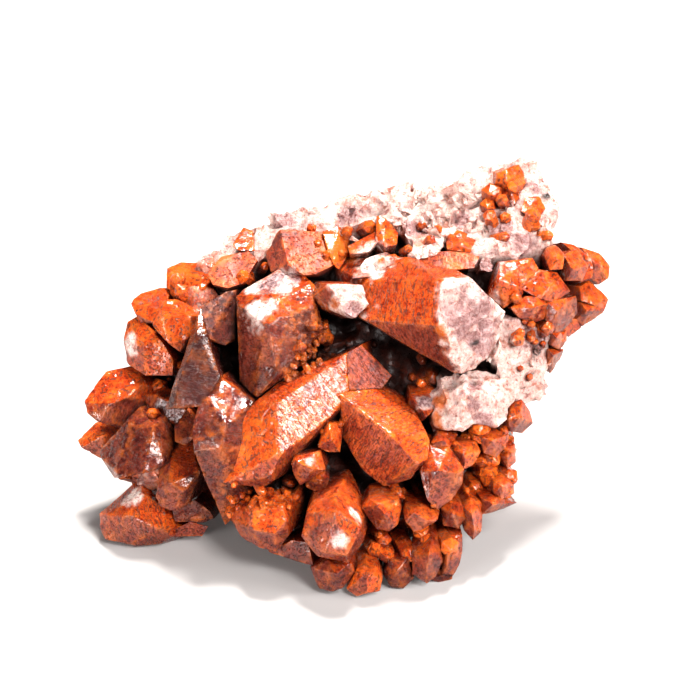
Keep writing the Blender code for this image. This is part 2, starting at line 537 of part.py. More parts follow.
def fill_closed_hollows(body):
    """Applies the body's modifiers and keeps only its outer skin, so what is closed off is solid."""
    evaluated = body.evaluated_get(bpy.context.evaluated_depsgraph_get())
    mesh = bmesh.new()
    mesh.from_mesh(evaluated.to_mesh())
    body.modifiers.clear()
    inner = sorted(islands(mesh), key=len)[:-1]
    bmesh.ops.delete(mesh, geom=[face for group in inner for face in group], context="FACES")
    bmesh.ops.dissolve_limit(mesh, angle_limit=FLAT, verts=mesh.verts, edges=mesh.edges)
    bmesh.ops.triangulate(mesh, faces=mesh.faces)
    mesh.to_mesh(body.data)
    mesh.free()


def red_quartz():
    material = bpy.data.materials.new("red quartz")
    material.use_nodes = True
    shader = material.node_tree.nodes["Principled BSDF"]
    shader.inputs["Base Color"].default_value = (0.5, 0.11, 0.04, 1)
    shader.inputs["Roughness"].default_value = 0.25
    shader.inputs["Metallic"].default_value = 0
    return material


def clear_scene():
    for old in list(bpy.data.objects):
        bpy.data.objects.remove(old)


def build():
    scene = bpy.context.scene.collection
    pieces = bpy.data.collections.new("pieces that are joined")
    scene.children.link(pieces)
    joined = [large_crystal(name, *row) for name, row in CRYSTALS.items()]
    joined += [large_crystal(name, *row) for name, row in BROKEN_MATRIX.items()]
    joined += small_crystals()
    joined += lumps()
    for piece in joined:
        pieces.objects.link(piece)
        piece.hide_render = True
        piece.display_type = "WIRE"
    body = convex_body(NODE, [at_floor(*corner) for corner in BODY])
    scene.objects.link(body)
    union = body.modifiers.new("grown together", "BOOLEAN")
    union.operation = "UNION"
    union.operand_type = "COLLECTION"
    union.collection = pieces
    below = box_below_floor()
    scene.objects.link(below)
    cut = body.modifiers.new("stands flat", "BOOLEAN")
    cut.operation = "DIFFERENCE"
    cut.object = below
    fill_closed_hollows(body)
    body.data.materials.append(red_quartz())
    return body


clear_scene()
build()
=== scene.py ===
import math
import random

import bmesh
import bpy
import numpy as np
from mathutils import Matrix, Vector


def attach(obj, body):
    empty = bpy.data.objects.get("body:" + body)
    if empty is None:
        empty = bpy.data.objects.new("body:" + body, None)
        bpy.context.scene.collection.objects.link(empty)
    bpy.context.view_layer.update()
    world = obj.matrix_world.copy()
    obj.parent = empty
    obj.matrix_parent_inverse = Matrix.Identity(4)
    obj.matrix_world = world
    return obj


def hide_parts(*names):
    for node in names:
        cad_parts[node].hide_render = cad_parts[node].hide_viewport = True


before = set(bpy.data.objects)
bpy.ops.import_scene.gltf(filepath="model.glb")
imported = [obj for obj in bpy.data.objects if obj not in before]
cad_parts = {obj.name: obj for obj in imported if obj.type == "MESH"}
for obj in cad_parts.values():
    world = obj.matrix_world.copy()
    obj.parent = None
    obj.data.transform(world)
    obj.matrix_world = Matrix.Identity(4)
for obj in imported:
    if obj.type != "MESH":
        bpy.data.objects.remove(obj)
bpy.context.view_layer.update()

# A red quartz cluster. Shapes are worked out in millimetres in the frame of the solid
# and turned to metres last.
MM = 0.001
BODY_NAME = "root"
NODE = "quartz_cluster"
DISPLAY_TILT = math.radians(30)  # how far the display plane leans back from upright
EYE = 787.5  # how far the eye is from the middle of the display plane
LIFT = 36.0  # how high that middle is over the floor
CENTRE = (-1.563, 3.102)  # x and y of the middle of the solid's box, from the display plane's foot
POINT_SLOPE = math.radians(51.8)  # quartz: from the long axis to the normal of a face at the point
SEED = 11
LEAN = 0.35  # how much small crystals stray from the way that their patch points
ROOTED = 1.2  # how deep a small crystal is rooted, in its own thicknesses
BLUNTER = math.radians(8)  # how much a small crystal's point opens beyond that of a large one
LENGTHS = (0.9, 1.5)  # shortest and longest small crystal, in its own thicknesses
LUMP_CORNERS = 18
LUMP_SPREAD = (0.88, 1.08)  # how far in and out of its ellipsoid a lump's corners lie

# name: (where the root lies from the corners, the corners)
CRYSTALS = {
    "diagonal prism": ((4, 2, -9), (
        (-17.3, -5.5, 16), (-0.7, 6.2, 11), (-15.8, -17, 17.4), (-0.3, -2.2, 12), (-3, -7, 13.5),
        (-21, -4.3, 10), (-14, 0.9, 7.5), (2.5, 8, 3.5), (-26, -10, 8.8), (-28.5, -19, 8.6),
        (-28.8, -23.2, 9.3), (-18, -21.8, 14.5), (-19.5, -24.3, 10), (-13, -20, 9),
    )),
    "diagonal prism, inner end": ((0, 0, -10), (
        (-0.7, 6.2, 11), (2.5, 8, 8.5), (9.5, 1, 6.5), (7, -2, 8), (-0.3, -2.2, 12),
    )),
    "front prism": ((-3, 5, -10), (
        (-2.4, -2.8, 13), (9, -12, 18.2), (15.5, -18.6, 20), (5.5, -1.5, 8), (15.8, -9, 13),
        (18, -13.5, 16), (17.4, -17.6, 18), (-2, -12.5, 9), (3, -20.5, 11), (8, -24, 12),
        (13.5, -22.3, 15), (3.4, -8, 15.8),
    )),
    "broken prism": ((-9, 5, -13), (
        (2.7, 22.4, 6), (20.6, 22.5, 17), (20.2, 12, 18.4), (22.6, 6.3, 14.5), (3.2, 13.5, 8),
        (27, 23.2, 12), (30, 19.5, 12), (35, 15.5, 9.5), (33.5, 9, 9), (31, 5, 9.5), (28.5, 2, 10),
        (24, 1.3, 11),
    )),
    "upper long prism": ((-4, -1, -8), (
        (9, 24, 3), (9.5, 27, 0), (21.5, 29.2, 4), (29.8, 28.6, 2), (28, 25.2, 6), (22, 24.8, 8),
        (16.5, 23.7, 8),
    )),
    "pale top face": ((0, -2, -9), (
        (0.5, 22.9, 6.5), (3.5, 27.4, 2), (8, 29, 1), (10.5, 27.7, 2), (10.5, 24, 6),
    )),
    "white topped block": ((0, -1, -11), (
        (-25.6, 18.8, 5), (-24.8, 8, 4), (-24.8, -0.8, 4.5), (-20.8, -3.9, 8), (-16.3, 1.3, 12),
        (-18.3, 12.7, 13.5), (-22, 13.8, 10.3), (-16.8, 18.2, 10), (-16, 14.5, 12.6), (-24, 20.4, 4),
        (-16, 25, 1), (-12, 25.4, 0), (-8, 21.5, 5), (-8.3, 16.5, 8), (-6, 11, 5), (-9, 4.5, 6),
        (-14.5, 1.5, 10),
    )),
    "striped block": ((2, -1, -9), (
        (-16, 33.9, -3), (-13.7, 26, 4), (-19, 28.5, -4), (-18, 24.3, -1), (-9, 32.5, -4), (-6, 33.4, -5),
        (-3.5, 26, 0), (-7.5, 23.8, 3), (-10.5, 23.6, 4.3),
    )),
    "orange slab": ((1, -1, -8), (
        (-6.3, 33.5, -4), (-2.5, 34.7, -5), (-0.3, 33, -6), (-0.6, 28, -2), (-2.5, 24.6, 0.5),
        (-4.3, 26.5, 1),
    )),
    "upper left block": ((1, -1, -9), (
        (-32, 23.8, -6), (-29, 27.7, -9), (-23, 29, -9), (-20.8, 26.8, -7), (-24, 21.8, -2),
        (-27.5, 20.6, -1.5), (-31, 21.4, -3),
    )),
    "broken short crystal": ((-3, 0, -11), (
        (-8.9, 19, 6), (-7, 22.3, 5), (2.8, 21.9, 6), (4.4, 17, 9), (1.2, 13.8, 11), (-1, 15.3, 11.8),
        (-4.3, 20.9, 11.5), (-6, 16, 7),
    )),
    "dark long prism": ((1, 0, -9), (
        (-33.3, 16, 3), (-36.3, 9.8, 5), (-39.6, -1, 7), (-41.2, -6.6, 7), (-34.8, 10, 8.5),
        (-38.3, 0.5, 10), (-39.3, -6, 10), (-32.6, 9.9, 8.5), (-31.6, 4, 9.2), (-29, 0.8, 9),
        (-33.5, -6, 9.5),
    )),
    "dark prism, upper end": ((1, 0, -9), (
        (-33.3, 16.6, 1.5), (-28, 19.9, 0), (-25.6, 20.3, -1), (-25.9, 9, 1), (-28.3, 7.7, 3),
        (-32, 9.6, 5.5), (-35.6, 10.3, 6),
    )),
    "streaked prism": ((3, 2, -10), (
        (-29.3, 0.7, 6), (-32.6, -1.5, 7.5), (-34.2, -5, 9), (-35.2, -10, 11), (-35.2, -15.9, 13),
        (-28.9, -15.2, 14.8), (-28.4, -10.3, 14.3), (-21, -4.5, 8), (-33, -21.5, 9.5), (-27.8, -32.4, 2),
        (-22.3, -26.8, 5), (-24.5, -16, 11),
    )),
    "low left prism": ((8, -2, -6), (
        (-60, -5, -10), (-59, -7.7, -9), (-58.6, -3, -12), (-55, 1.8, -14), (-48, 3.4, -14),
        (-46.6, 2.6, -13), (-46.4, -0.9, -9), (-53.5, -5.2, -5.5), (-56.5, -9.7, -8), (-53, -9.8, -8.5),
        (-50, -4, -6),
    )),
    "far left point": ((8, 1, -4), (
        (-61.3, -13.8, -16), (-57, -9.5, -18), (-54, -9.2, -18), (-55.5, -12.5, -12.5), (-56, -17.9, -15),
        (-60.3, -15.3, -15),
    )),
    "purple pyramid": ((4, 1, -9), (
        (-47.3, -6.1, -5), (-56, -15.4, -8), (-56.4, -17, -7.5), (-53, -22.2, -4), (-50.3, -9.3, -2.5),
        (-51.8, -21.6, 0.5), (-46, -20.9, 3), (-41.5, -18.9, 2), (-40, -14, -1), (-39.8, -7, -7),
        (-44.5, -10.6, 1.8),
    )),
    "mid left crystal": ((2, -1, -9), (
        (-44.5, 12.3, -2.5), (-42.3, 14.3, -1), (-42, 17.9, -6), (-39, 18.2, -7), (-33, 15.4, -5),
        (-32.6, 14, -3), (-36, 9.5, -0.5), (-38.5, 6.4, -2), (-41, 8.1, -1), (-36, 14.6, -0.5),
    )),
    "upper left point": ((6, -2, -7), (
        (-49.3, 17, -10), (-47.5, 19, -13), (-43, 20.7, -14), (-40.5, 20.6, -14), (-41.3, 15.8, -7),
        (-44, 12.8, -7), (-47, 12.9, -9), (-48.4, 14.8, -9),
    )),
    "upper left lump": ((2, -1, -9), (
        (-41.5, 20.4, -12), (-41.3, 25, -16), (-38, 26.4, -18), (-32, 26, -15), (-30.5, 22, -9),
        (-33, 17.1, -7), (-38, 18.2, -9),
    )),
    "pale edged crystal": ((4, 0, -9), (
        (-50.1, 13, -12), (-51.1, 8.8, -12), (-50.3, 3.6, -12), (-46.5, 2.7, -8), (-46, 0.9, -7),
        (-40, 1, -5), (-39.8, 4.5, -4), (-42.5, 8.7, -3.5), (-44.5, 11, -6), (-47.5, 14.4, -11),
        (-46.3, 8, -6),
    )),
    "bottom left prism": ((6, 1, -9), (
        (-56.5, -30.5, -8), (-56.4, -33.5, -7), (-55.2, -35.9, -6), (-53.5, -36.4, -5.5), (-54, -30.2, -4),
        (-47.5, -25.6, -2), (-52, -25.9, -8), (-46.5, -22, -9), (-41.5, -28.5, -1), (-42, -33.5, 0),
        (-50, -36.7, -4), (-47.8, -37.5, -5), (-43, -37, -5), (-40, -35.5, -4), (-50, -30.5, -1.5),
    )),
    "rough brown crystal": ((4, 4, -9), (
        (-40.5, -15.4, -2), (-43, -21, 0), (-43.9, -26.3, 1), (-43, -28.4, 1.5), (-40, -29.5, 1.5),
        (-37, -28.6, 1), (-37.3, -25, 4), (-33.8, -21, 3), (-33, -19.6, 1), (-35.5, -14, -2),
        (-37.5, -13.6, -3), (-40.3, -23, 4.5),
    )),
    "dark base crystal": ((2, 2, -8), (
        (-40, -29.5, -2), (-35, -27, -1), (-31.5, -29.5, -2), (-30.5, -31.3, -3), (-33, -32.3, -4),
        (-39.5, -32, -3),
    )),
    "thin plate": ((0, 0, -6), (
        (-40.2, -34, -5), (-36, -32, -4), (-32, -33, -4.5), (-33.3, -35.2, -5.5), (-39.8, -35.3, -5.5),
    )),
    "small brown crystal": ((2, 2, -8), (
        (-39.7, -10.5, 0), (-36.2, -6, -1), (-34, -6.4, 2), (-34.5, -12, 4), (-37, -15, 2),
        (-39.6, -14, 1),
    )),
    "white faced crystal": ((1, 4, -10), (
        (-3.2, -29.3, 24), (2.4, -33.2, 22), (-0.5, -38.8, 21.5), (-5.6, -38.8, 20.5), (-9.8, -29.7, 17),
        (-10.9, -35, 16.5), (-3, -26.5, 21), (-2, -23.9, 15.5), (0.6, -27, 17), (2.8, -32, 19),
        (3.2, -35.8, 17), (-7.5, -39.4, 17.5), (-0.5, -41.1, 17.5), (-8.5, -27, 15.5),
    )),
    "front foot, left": ((1, 4, -9), (
        (-9, -42.1, 12), (-5, -40.4, 15), (0.3, -40.8, 15), (1.1, -43.2, 14), (-1.6, -47, 13),
        (-4, -47.7, 12.4), (-7, -47, 11), (-3.2, -43.5, 18),
    )),
    "front foot, middle": ((0, 4, -9), (
        (-1, -47, 11.5), (1.5, -42.2, 14), (3.5, -40.2, 13), (6.2, -41.2, 13), (7.4, -44.3, 12.5),
        (6.8, -47.3, 12), (1.5, -48.7, 12.6), (3.7, -43.5, 17), (4, -47.8, 14.5),
    )),
    "front foot, brown": ((0, 4, -9), (
        (7.3, -43.5, 10), (9, -40.5, 12), (13, -40, 11), (14.5, -44.5, 9), (12, -46.9, 9), (9, -46.6, 9),
        (10.5, -43, 13),
    )),
    "orange crystal": ((0, 3, -9), (
        (2.5, -28.6, 15), (4.3, -26.4, 16), (7.3, -25.3, 15), (10.7, -25.9, 15.5), (11.6, -29, 16),
        (11, -32.5, 16), (9, -34, 16), (5.8, -33.6, 15.5), (8, -30, 20), (6, -28, 19.5),
    )),
    "wedge crystal": ((0, 3, -9), (
        (11.8, -29.2, 14), (12.4, -27.7, 14), (16, -27.5, 14), (20.2, -29.5, 13), (19.6, -31.6, 14),
        (16.5, -33.4, 15), (14.3, -34.2, 14), (12.4, -31.6, 15), (14.5, -29.5, 17.5), (17.5, -31.5, 17),
    )),
    "lower point": ((0, 5, -9), (
        (14, -39.2, 12), (13.9, -43.7, 10.5), (15.3, -44.8, 10.3), (17.4, -45.9, 9.8), (19.3, -44.4, 10),
        (20.9, -41, 11), (20.1, -37.4, 12), (18.4, -35.5, 13), (17.7, -39.5, 15.5), (17.2, -43.5, 13.5),
    )),
    "right foot": ((-1, 4, -9), (
        (20.6, -36, 10), (22.5, -34.6, 10), (25.2, -34.4, 8), (25.6, -38, 7), (24.5, -41.7, 7),
        (23.2, -43.8, 7), (20.8, -43.5, 8), (22, -38.5, 12), (21.8, -42, 10),
    )),
    "right foot, brown": ((-1, 4, -8), (
        (19.5, -42.5, 7), (23.5, -42.8, 6.5), (23, -44.8, 5.5), (20, -45.5, 6), (17.5, -45, 7),
    )),
    "rough faced crystal": ((-1, 4, -10), (
        (15.7, -20.4, 16.5), (18, -14.4, 13), (22.3, -15.2, 13), (25.6, -20, 14), (25.4, -23, 13),
        (23.5, -26.2, 13), (19.8, -29, 14), (17.3, -26.7, 16), (19.5, -20.3, 18.5), (24.3, -20.6, 15.8),
    )),
    "small pink crystal": ((0, 2, -9), (
        (18, -14.2, 13), (19.6, -11.7, 12), (22.2, -11.5, 10), (24.3, -12.2, 9), (22.6, -15.2, 12),
        (20, -15.6, 13), (21, -13.5, 14),
    )),
    "red gloss crystal": ((-1, 2, -9), (
        (22.4, -15.3, 11), (24, -13.7, 11), (28.5, -13.6, 9), (29.5, -16, 9), (28.2, -18.7, 10),
        (25.5, -20.1, 11.5), (26, -16.5, 13.5),
    )),
    "pink dark crystal": ((-1, 3, -9), (
        (12.6, -5.6, 7), (13.7, -3.5, 8.5), (18, -1.6, 5), (20.3, -2.7, 6), (19.6, -6, 9),
        (17.4, -8.4, 12), (16.2, -9.3, 10), (14.8, -8.7, 8),
    )),
    "cavity crystal": ((-1, 1, -8), (
        (16.7, 2.3, 1), (18.5, 3.9, 0), (20.7, 3, 0), (21.6, 0.5, 1), (19.5, -1.9, 3), (17.2, -0.6, 3),
        (18.7, 1.5, 4.5),
    )),
    "small purple pyramid": ((0, 2, -10), (
        (-7.4, -15.1, 14), (-4.8, -9.8, 14), (-2.4, -12, 14), (-2.2, -16.3, 13), (-5.2, -16.2, 14),
        (-4.2, -13.2, 17), (-1.2, -9, 10), (-5.5, -8.5, 10),
    )),
    "pale edged pyramid": ((1, 2, -10), (
        (-13.3, -18.8, 15), (-12.6, -16.9, 15.5), (-6.6, -15.6, 14), (-5.5, -20, 15), (-8.2, -20, 17.8),
        (-12, -18.2, 17.8), (-11.2, -23.7, 13), (-12.6, -21.5, 13.5),
    )),
    "brown round crystal": ((0, 2, -9), (
        (-10.2, -21.3, 12), (-8.3, -19.9, 12), (-5.8, -20, 12), (-4.5, -22, 12), (-5.3, -24.6, 11),
        (-8, -25.3, 11), (-10, -24, 11), (-7.3, -22.3, 15),
    )),
    "rough round crystal": ((3, 4, -10), (
        (-25, -27.7, 7), (-26.9, -31.3, 5), (-23, -27.5, 9), (-18, -25.7, 10), (-14.3, -26.7, 11),
        (-12.2, -29.5, 11), (-13.5, -34.6, 13.5), (-16.5, -38.5, 11), (-20.5, -37.7, 10),
        (-24.3, -35.6, 7), (-21.7, -29.5, 14), (-15, -28.3, 15.5), (-14.5, -31.5, 16.3),
        (-21.8, -33.5, 14.5), (-17, -34.5, 16),
    )),
    "shaded ledge": ((2, 3, -8), (
        (-18.5, -38.6, 8), (-13, -36, 11.5), (-9.5, -36.3, 13), (-8.2, -41.7, 12), (-12, -40.8, 9),
    )),
    "right hanging point": ((-2, 4, -9), (
        (25.1, -28.5, 9), (27, -26.6, 9), (29.9, -27.2, 6), (29.6, -34, 5), (27.7, -36.1, 6),
        (25.8, -34.1, 7), (27.4, -30, 12), (28, -34, 9),
    )),
    "sparkling crystal": ((-1, 3, -9), (
        (20.4, -28.5, 12), (22.5, -27, 12), (25, -27.5, 10), (26.3, -31, 9), (24.5, -33.5, 9),
        (21, -32.8, 11), (23, -30, 14.5),
    )),
    "bright right crystal": ((-2, 2, -9), (
        (29, -12.5, 9), (32, -11, 7), (36, -12, 4), (35.3, -15, 5), (33, -17.5, 7), (30, -16.5, 9),
        (32, -13.5, 11),
    )),
    "right lower crystal": ((-3, 3, -8), (
        (32.2, -22.5, 6), (34, -21, 4), (36.7, -22, 2), (37, -25.5, 2), (34, -27, 5), (32.3, -25.5, 6),
        (34.2, -23.8, 8),
    )),
    "right lowest crystal": ((-3, 4, -8), (
        (29.5, -26.5, 7), (33, -26.2, 6), (37.5, -27.7, 1), (33.5, -29.6, 4), (29.8, -30.2, 6),
        (32, -28, 9),
    )),
    "right pink crystal": ((-3, 1, -8), (
        (34, -17, 5), (36, -14.5, 3), (37.6, -15.5, 1), (37.4, -18.5, 1), (35.5, -20, 3), (35.5, -17, 6),
    )),
    "right edge point": ((-5, 2, -7), (
        (35.5, -9, 7), (36.4, -5.8, 6), (38.5, -4.4, 3), (40.6, -7, 0), (41, -9.6, 0), (38.8, -12, 2),
        (36.2, -11.6, 6), (38.2, -8.5, 6.5),
    )),
    "right upper block": ((-2, 0, -10), (
        (33, 23.5, 9), (34, 26.7, 6), (41, 27.5, 4), (42.4, 25, 4), (40, 23, 6), (38, 21, 8),
        (38.2, 18.5, 7), (34.5, 16.1, 7), (31.5, 19, 8), (33.5, 22.5, 10.5),
    )),
    "right ridge crystal": ((-3, 0, -9), (
        (38, 20.7, 7), (42.6, 25, 4), (46.7, 24.2, 2), (49.6, 20, 0), (46, 17.3, 4), (42.5, 18.3, 7),
        (45, 21, 6),
    )),
    "right hollow crystal": ((-2, 1, -9), (
        (36, 16.3, 8), (39.5, 18.9, 7), (42.5, 19.3, 6), (45.3, 17.4, 4), (43.7, 13.5, 4), (41, 12.7, 6),
        (38, 14, 8), (41.5, 16.5, 9.5),
    )),
    "right side crystal": ((-3, 1, -9), (
        (44, 17.7, 5), (48, 18.2, 3), (51, 19, -1), (51.3, 15, -2), (48.5, 11.5, -1), (46.2, 9.8, 1),
        (44.3, 12, 4), (46.7, 15.5, 6),
    )),
    "right side point": ((-3, 1, -8), (
        (45, 11, 2), (47.5, 11, 0), (48.6, 8.4, -3), (47, 6.7, -2), (45.3, 7.8, 1), (46.5, 9.5, 3),
    )),
    "right edge crystal": ((-4, 1, -8), (
        (44.7, 7, 0), (48, 6.9, -4), (47.3, 4.5, -4), (45.2, 1.5, -3), (44.3, 3.5, 0), (45.8, 5.5, 1),
    )),
    "right dark facet": ((-2, 0, -9), (
        (43.6, 28, 1), (44.3, 29.8, 0), (46.3, 30.5, 0), (48.3, 28.3, 1), (47.8, 25, 4), (45, 24.7, 4),
        (46.6, 27, 5),
    )),
    "right clear crystal": ((-4, 0, -8), (
        (48, 28.2, 1), (51, 29.5, -3), (53.8, 25.8, -3), (52.3, 22.3, -2), (48.6, 22.3, 1), (50, 25, 3),
    )),
    "right shell crystal": ((-5, -1, -7), (
        (47.5, 31, -6), (50.5, 30.4, -6), (54, 27.8, -6), (55.2, 25, -6), (54.5, 22.6, -5), (52, 22, -3),
        (50, 29, -3),
    )),
    "rounded far crystal": ((-6, 0, -5), (
        (52, 30, -10), (56.3, 28.5, -11), (58.6, 25.5, -11), (58.3, 22.8, -10), (56, 21.2, -9),
        (54, 23, -7), (55.5, 26, -7),
    )),
    "pale far crystal": ((-6, 1, -5), (
        (51.6, 21, -5), (54, 22.4, -8), (56.5, 20, -9), (58.3, 18, -10), (57.3, 15.5, -9), (54.5, 17, -5),
        (52, 17.7, -4),
    )),
    "pink far crystal": ((-6, 1, -5), (
        (51.8, 17.5, -5), (55.7, 17, -7), (57.5, 15.5, -9), (55, 13.5, -8), (52.5, 12, -6), (51, 13.5, -5),
        (53.3, 15.5, -3.5),
    )),
    "low far crystal": ((-5, 1, -6), (
        (49, 14, -3), (52, 13.5, -6), (52, 11.8, -7), (50, 11.2, -5), (49.5, 9.5, -5), (47.8, 10.5, -3),
    )),
    "top orange crystal": ((-1, -3, -8), (
        (5.7, 31, 1), (6, 37, -2), (8, 36.6, -2), (11, 33, -1), (10.6, 30.4, 1), (8, 29.8, 3),
    )),
    "dark red crystal": ((0, -2, -7), (
        (-0.5, 30.2, 0), (6.2, 33.8, -3), (6.3, 31, 1), (4, 28.9, 2), (0, 28.3, 1),
    )),
    "top small block": ((0, -2, -8), (
        (21.8, 29.3, 3), (21.6, 31.2, 1), (24, 33.8, -2), (26, 33.3, -2), (29.2, 32, -1), (30, 30.5, 0),
        (29.6, 28.4, 2), (25, 30.5, 3),
    )),
    "summit crystal": ((1, -4, -6), (
        (33.5, 44.5, -8), (35, 47.5, -11), (38, 48.5, -12), (39.6, 46, -11), (39.2, 42, -8),
        (37, 39.5, -5), (34.3, 40.3, -5), (36.3, 43.5, -5.5),
    )),
    "summit lower crystal": ((0, -3, -7), (
        (38.4, 38, -4), (39.5, 41.2, -7), (42.7, 41.2, -8), (44, 38.5, -7), (42.5, 36.8, -5),
        (40.5, 36.6, -3),
    )),
    "top left orange": ((2, -2, -7), (
        (-26, 31.5, -12), (-24, 34.3, -15), (-22, 33.5, -14), (-21.3, 29, -9), (-25, 29, -9),
        (-26.5, 30, -10),
    )),
}

# Broken white quartz that the crystals grow on, written as the crystals are.
BROKEN_MATRIX = {
    "third broken crystal": ((-5, 3, -12), (
        (18.2, -8.5, 10), (19.7, -4.5, 11), (23, 0.1, 11), (28.5, 1.3, 10), (34, 1, 8), (38.5, -1, 5),
        (37, -6, 7), (35, -9.5, 8), (30, -11.2, 11), (24, -11, 13.3), (20.3, -11.7, 12), (26, -4.5, 15),
    )),
    "right fracture": ((-7, 0, -14), (
        (34, 14.5, 8), (41, 13, 5), (45, 10.5, 1), (46, 5, -2), (45, 0, -3), (43.8, -3.7, -2),
        (38.5, -5.7, 3), (34, -2, 7.5), (32.5, 6, 9.5),
    )),
    "mauve fracture": ((-2, -2, -9), (
        (28.2, 26.3, 6), (30, 29.2, 3), (33, 28.5, 3), (33.6, 26.2, 5), (32, 24, 7), (29, 24.6, 7.5),
    )),
    "top matrix, left": ((5, -8, -4), (
        (-36, 25.5, -17), (-30, 30.5, -17), (-22, 35, -16), (-14, 36.5, -15), (-12, 33, -9), (-20, 27, -7),
        (-31, 22, -9),
    )),
    "top matrix, middle": ((2, -9, -3), (
        (-18, 36, -14), (-9, 39.4, -14), (0, 41.2, -12), (7, 43.3, -13), (14, 43.8, -13), (14, 36, -6),
        (2, 32.5, -5), (-12, 31, -6),
    )),
    "white nose": ((-1, -4, -9), (
        (13, 28, 3), (14, 31, 1), (12, 36, -5), (16, 39, -9), (21.5, 38.5, -9), (22, 33, -3),
        (21.3, 29.2, 3), (18.5, 27.7, 5.5), (15.5, 26.9, 5.5),
    )),
    "top matrix, right": ((-2, -10, -3), (
        (14, 43, -12), (22, 44, -13), (31, 45.8, -13), (35, 49, -14), (38.5, 50, -14), (42.5, 48.5, -14),
        (46.8, 43.5, -12), (46.6, 40, -11), (46.9, 35.5, -9), (45.5, 32, -3), (38, 28, 3), (30, 28, 3),
        (22, 31, 0), (14, 36, -5), (36, 35, -1),
    )),
}

# The body behind the crystals, as corners (x, y, z) over the foot of the display plane's middle.
BODY = (
    (0, 2, 34), (-14, -7, 28), (14, -13, 22), (18, 3, 43), (-10, 12, 47), (8, 19, 55), (34, 16, 52),
    (36, 6, 33), (-34, 15, 43), (-43, 12, 27), (-39, -2, 10), (-22, -10, 10), (0, -22, 6), (16, -19, 6),
    (26, -12, 14), (-32, 24, 22), (-28, 28, 42), (0, 33, 60), (36, 31, 62), (40, 26, 44), (34, 24, 18),
    (28, 31, 38), (-10, 32, 28), (-14, 16, 2), (16, 14, 2),
)

# Lumps of the broken matrix at the back and under the body: (middle), (half of each side).
LUMPS = (
    ((-14, 14, 7), (15, 13, 12)),
    ((12, 20, 8), (17, 12, 13)),
    ((24, 4, 9), (11, 14, 12)),
    ((2, -4, 9), (17, 13, 11)),
    ((-24, 24, 26), (14, 9, 14)),
    ((-2, 29, 34), (15, 9, 16)),
    ((22, 27, 30), (14, 10, 15)),
    ((33, 27, 50), (11, 9, 14)),
    ((8, 32, 52), (16, 6, 11)),
    ((-18, 26, 44), (13, 7, 9)),
    ((-34, 14, 20), (9, 12, 11)),
    ((-30, 25, 48), (7, 7, 6)),
    ((-19, 29, 54), (8, 7, 6)),
    ((-7, 31, 57), (8, 8, 6)),
    ((5, 32, 59), (8, 7, 6)),
    ((17, 33, 60), (8, 8, 6)),
    ((28, 34, 63), (8, 7, 6)),
    ((38, 33, 66), (6, 7, 6)),
    ((42, 29, 58), (5, 7, 8)),
)

# Small crystals: (middle of the patch as across, up, out), (half its width, half its height), how many,
# (least, most) thickness in millimetres, (across, up, out) that they point to.
PATCHES = (
    ((30, -20, 0), (4.5, 6.5), 14, (3.5, 5.5), (0.35, -0.1, 0.9)),
    ((28, -8, 6), (5, 3), 3, (2.5, 4), (0.3, -0.5, 0.9)),
    ((17, -35, 7), (5, 3), 5, (3, 5), (0.1, -0.4, 0.9)),
    ((7, -37, 8), (3, 3), 4, (3, 4), (0, -0.3, 1)),
    ((-11, -22, 4), (4, 4), 4, (3, 4.5), (-0.1, -0.3, 1)),
    ((-45, -4, -13), (3, 3), 3, (3, 4), (0.1, 0.2, 1)),
    ((-49, -22, -9), (2, 1), 2, (3, 5), (-0.3, 0.2, 0.9)),
    ((17, 8, -2), (5, 3), 4, (3, 4), (0.1, -0.3, 1)),
    ((-6, 9, -1), (3, 5), 3, (3, 4), (0.3, -0.3, 1)),
    ((44, 13.5, -6), (2.5, 4.5), 5, (3.5, 5.5), (0.4, 0.1, 0.8)),
)

# The same on the sides that the display side hides: (middle x, y, z), (half of each side), how many,
# (least, most) thickness, (x, y, z) that they point to.
SIDE_PATCHES = (
    ((-39, 10, 20), (2, 8, 8), 7, (5, 9), (-1, 0.2, 0.1)),
    ((-32, 24, 30), (4, 2, 8), 5, (5, 9), (-0.6, 0.8, 0.2)),
    ((36, 20, 36), (2, 6, 8), 5, (5, 8), (0.8, 0.6, 0.1)),
    ((29, 8, 12), (3, 7, 5), 5, (5, 8), (0.8, 0.3, 0)),
    ((-8, 34, 18), (14, 2, 7), 5, (6, 9), (-0.1, 1, 0.1)),
    ((16, 34, 40), (12, 2, 8), 4, (6, 9), (0.2, 1, 0.2)),
)

# How much lighter (above 0) or darker than the rest some crystals are.
TONES = {
    # The inner end of the diagonal prism is darker, partly as painted shade.
    "diagonal prism": 0.9, "diagonal prism, inner end": -1.1, "front prism": 1.1, "broken prism": 0.2,
    "dark long prism": -4.2, "dark prism, upper end": -2.6, "streaked prism": -2.3,
    "white topped block": -1.0, "purple pyramid": -2.5, "dark base crystal": -2.2,
    "small brown crystal": -2.0, "rough brown crystal": -1.2, "front foot, brown": -1.8,
    "right foot, brown": -1.8, "brown round crystal": -1.0, "rough faced crystal": -0.4,
    "red gloss crystal": 0.6, "orange crystal": 0.6, "wedge crystal": 0.5, "right upper block": 0.7,
}

# Crystals without a gloss.
DULL = ("striped block", "dark prism, upper end", "diagonal prism, inner end", "upper left block",
        "pale top face", "upper long prism")

# Large crystals in the middle, whose mesh is finest.
LONG = ("diagonal prism", "diagonal prism, inner end", "front prism", "broken prism", "white topped block",
        "dark long prism", "dark prism, upper end", "streaked prism", "broken short crystal")

# Crystals that broke: the way (across, up, out) that the broken faces look.
BROKEN_ENDS = {
    "broken prism": (0.5, 0, 0.85),
    "broken short crystal": (0.5, 0.2, 0.85),
}

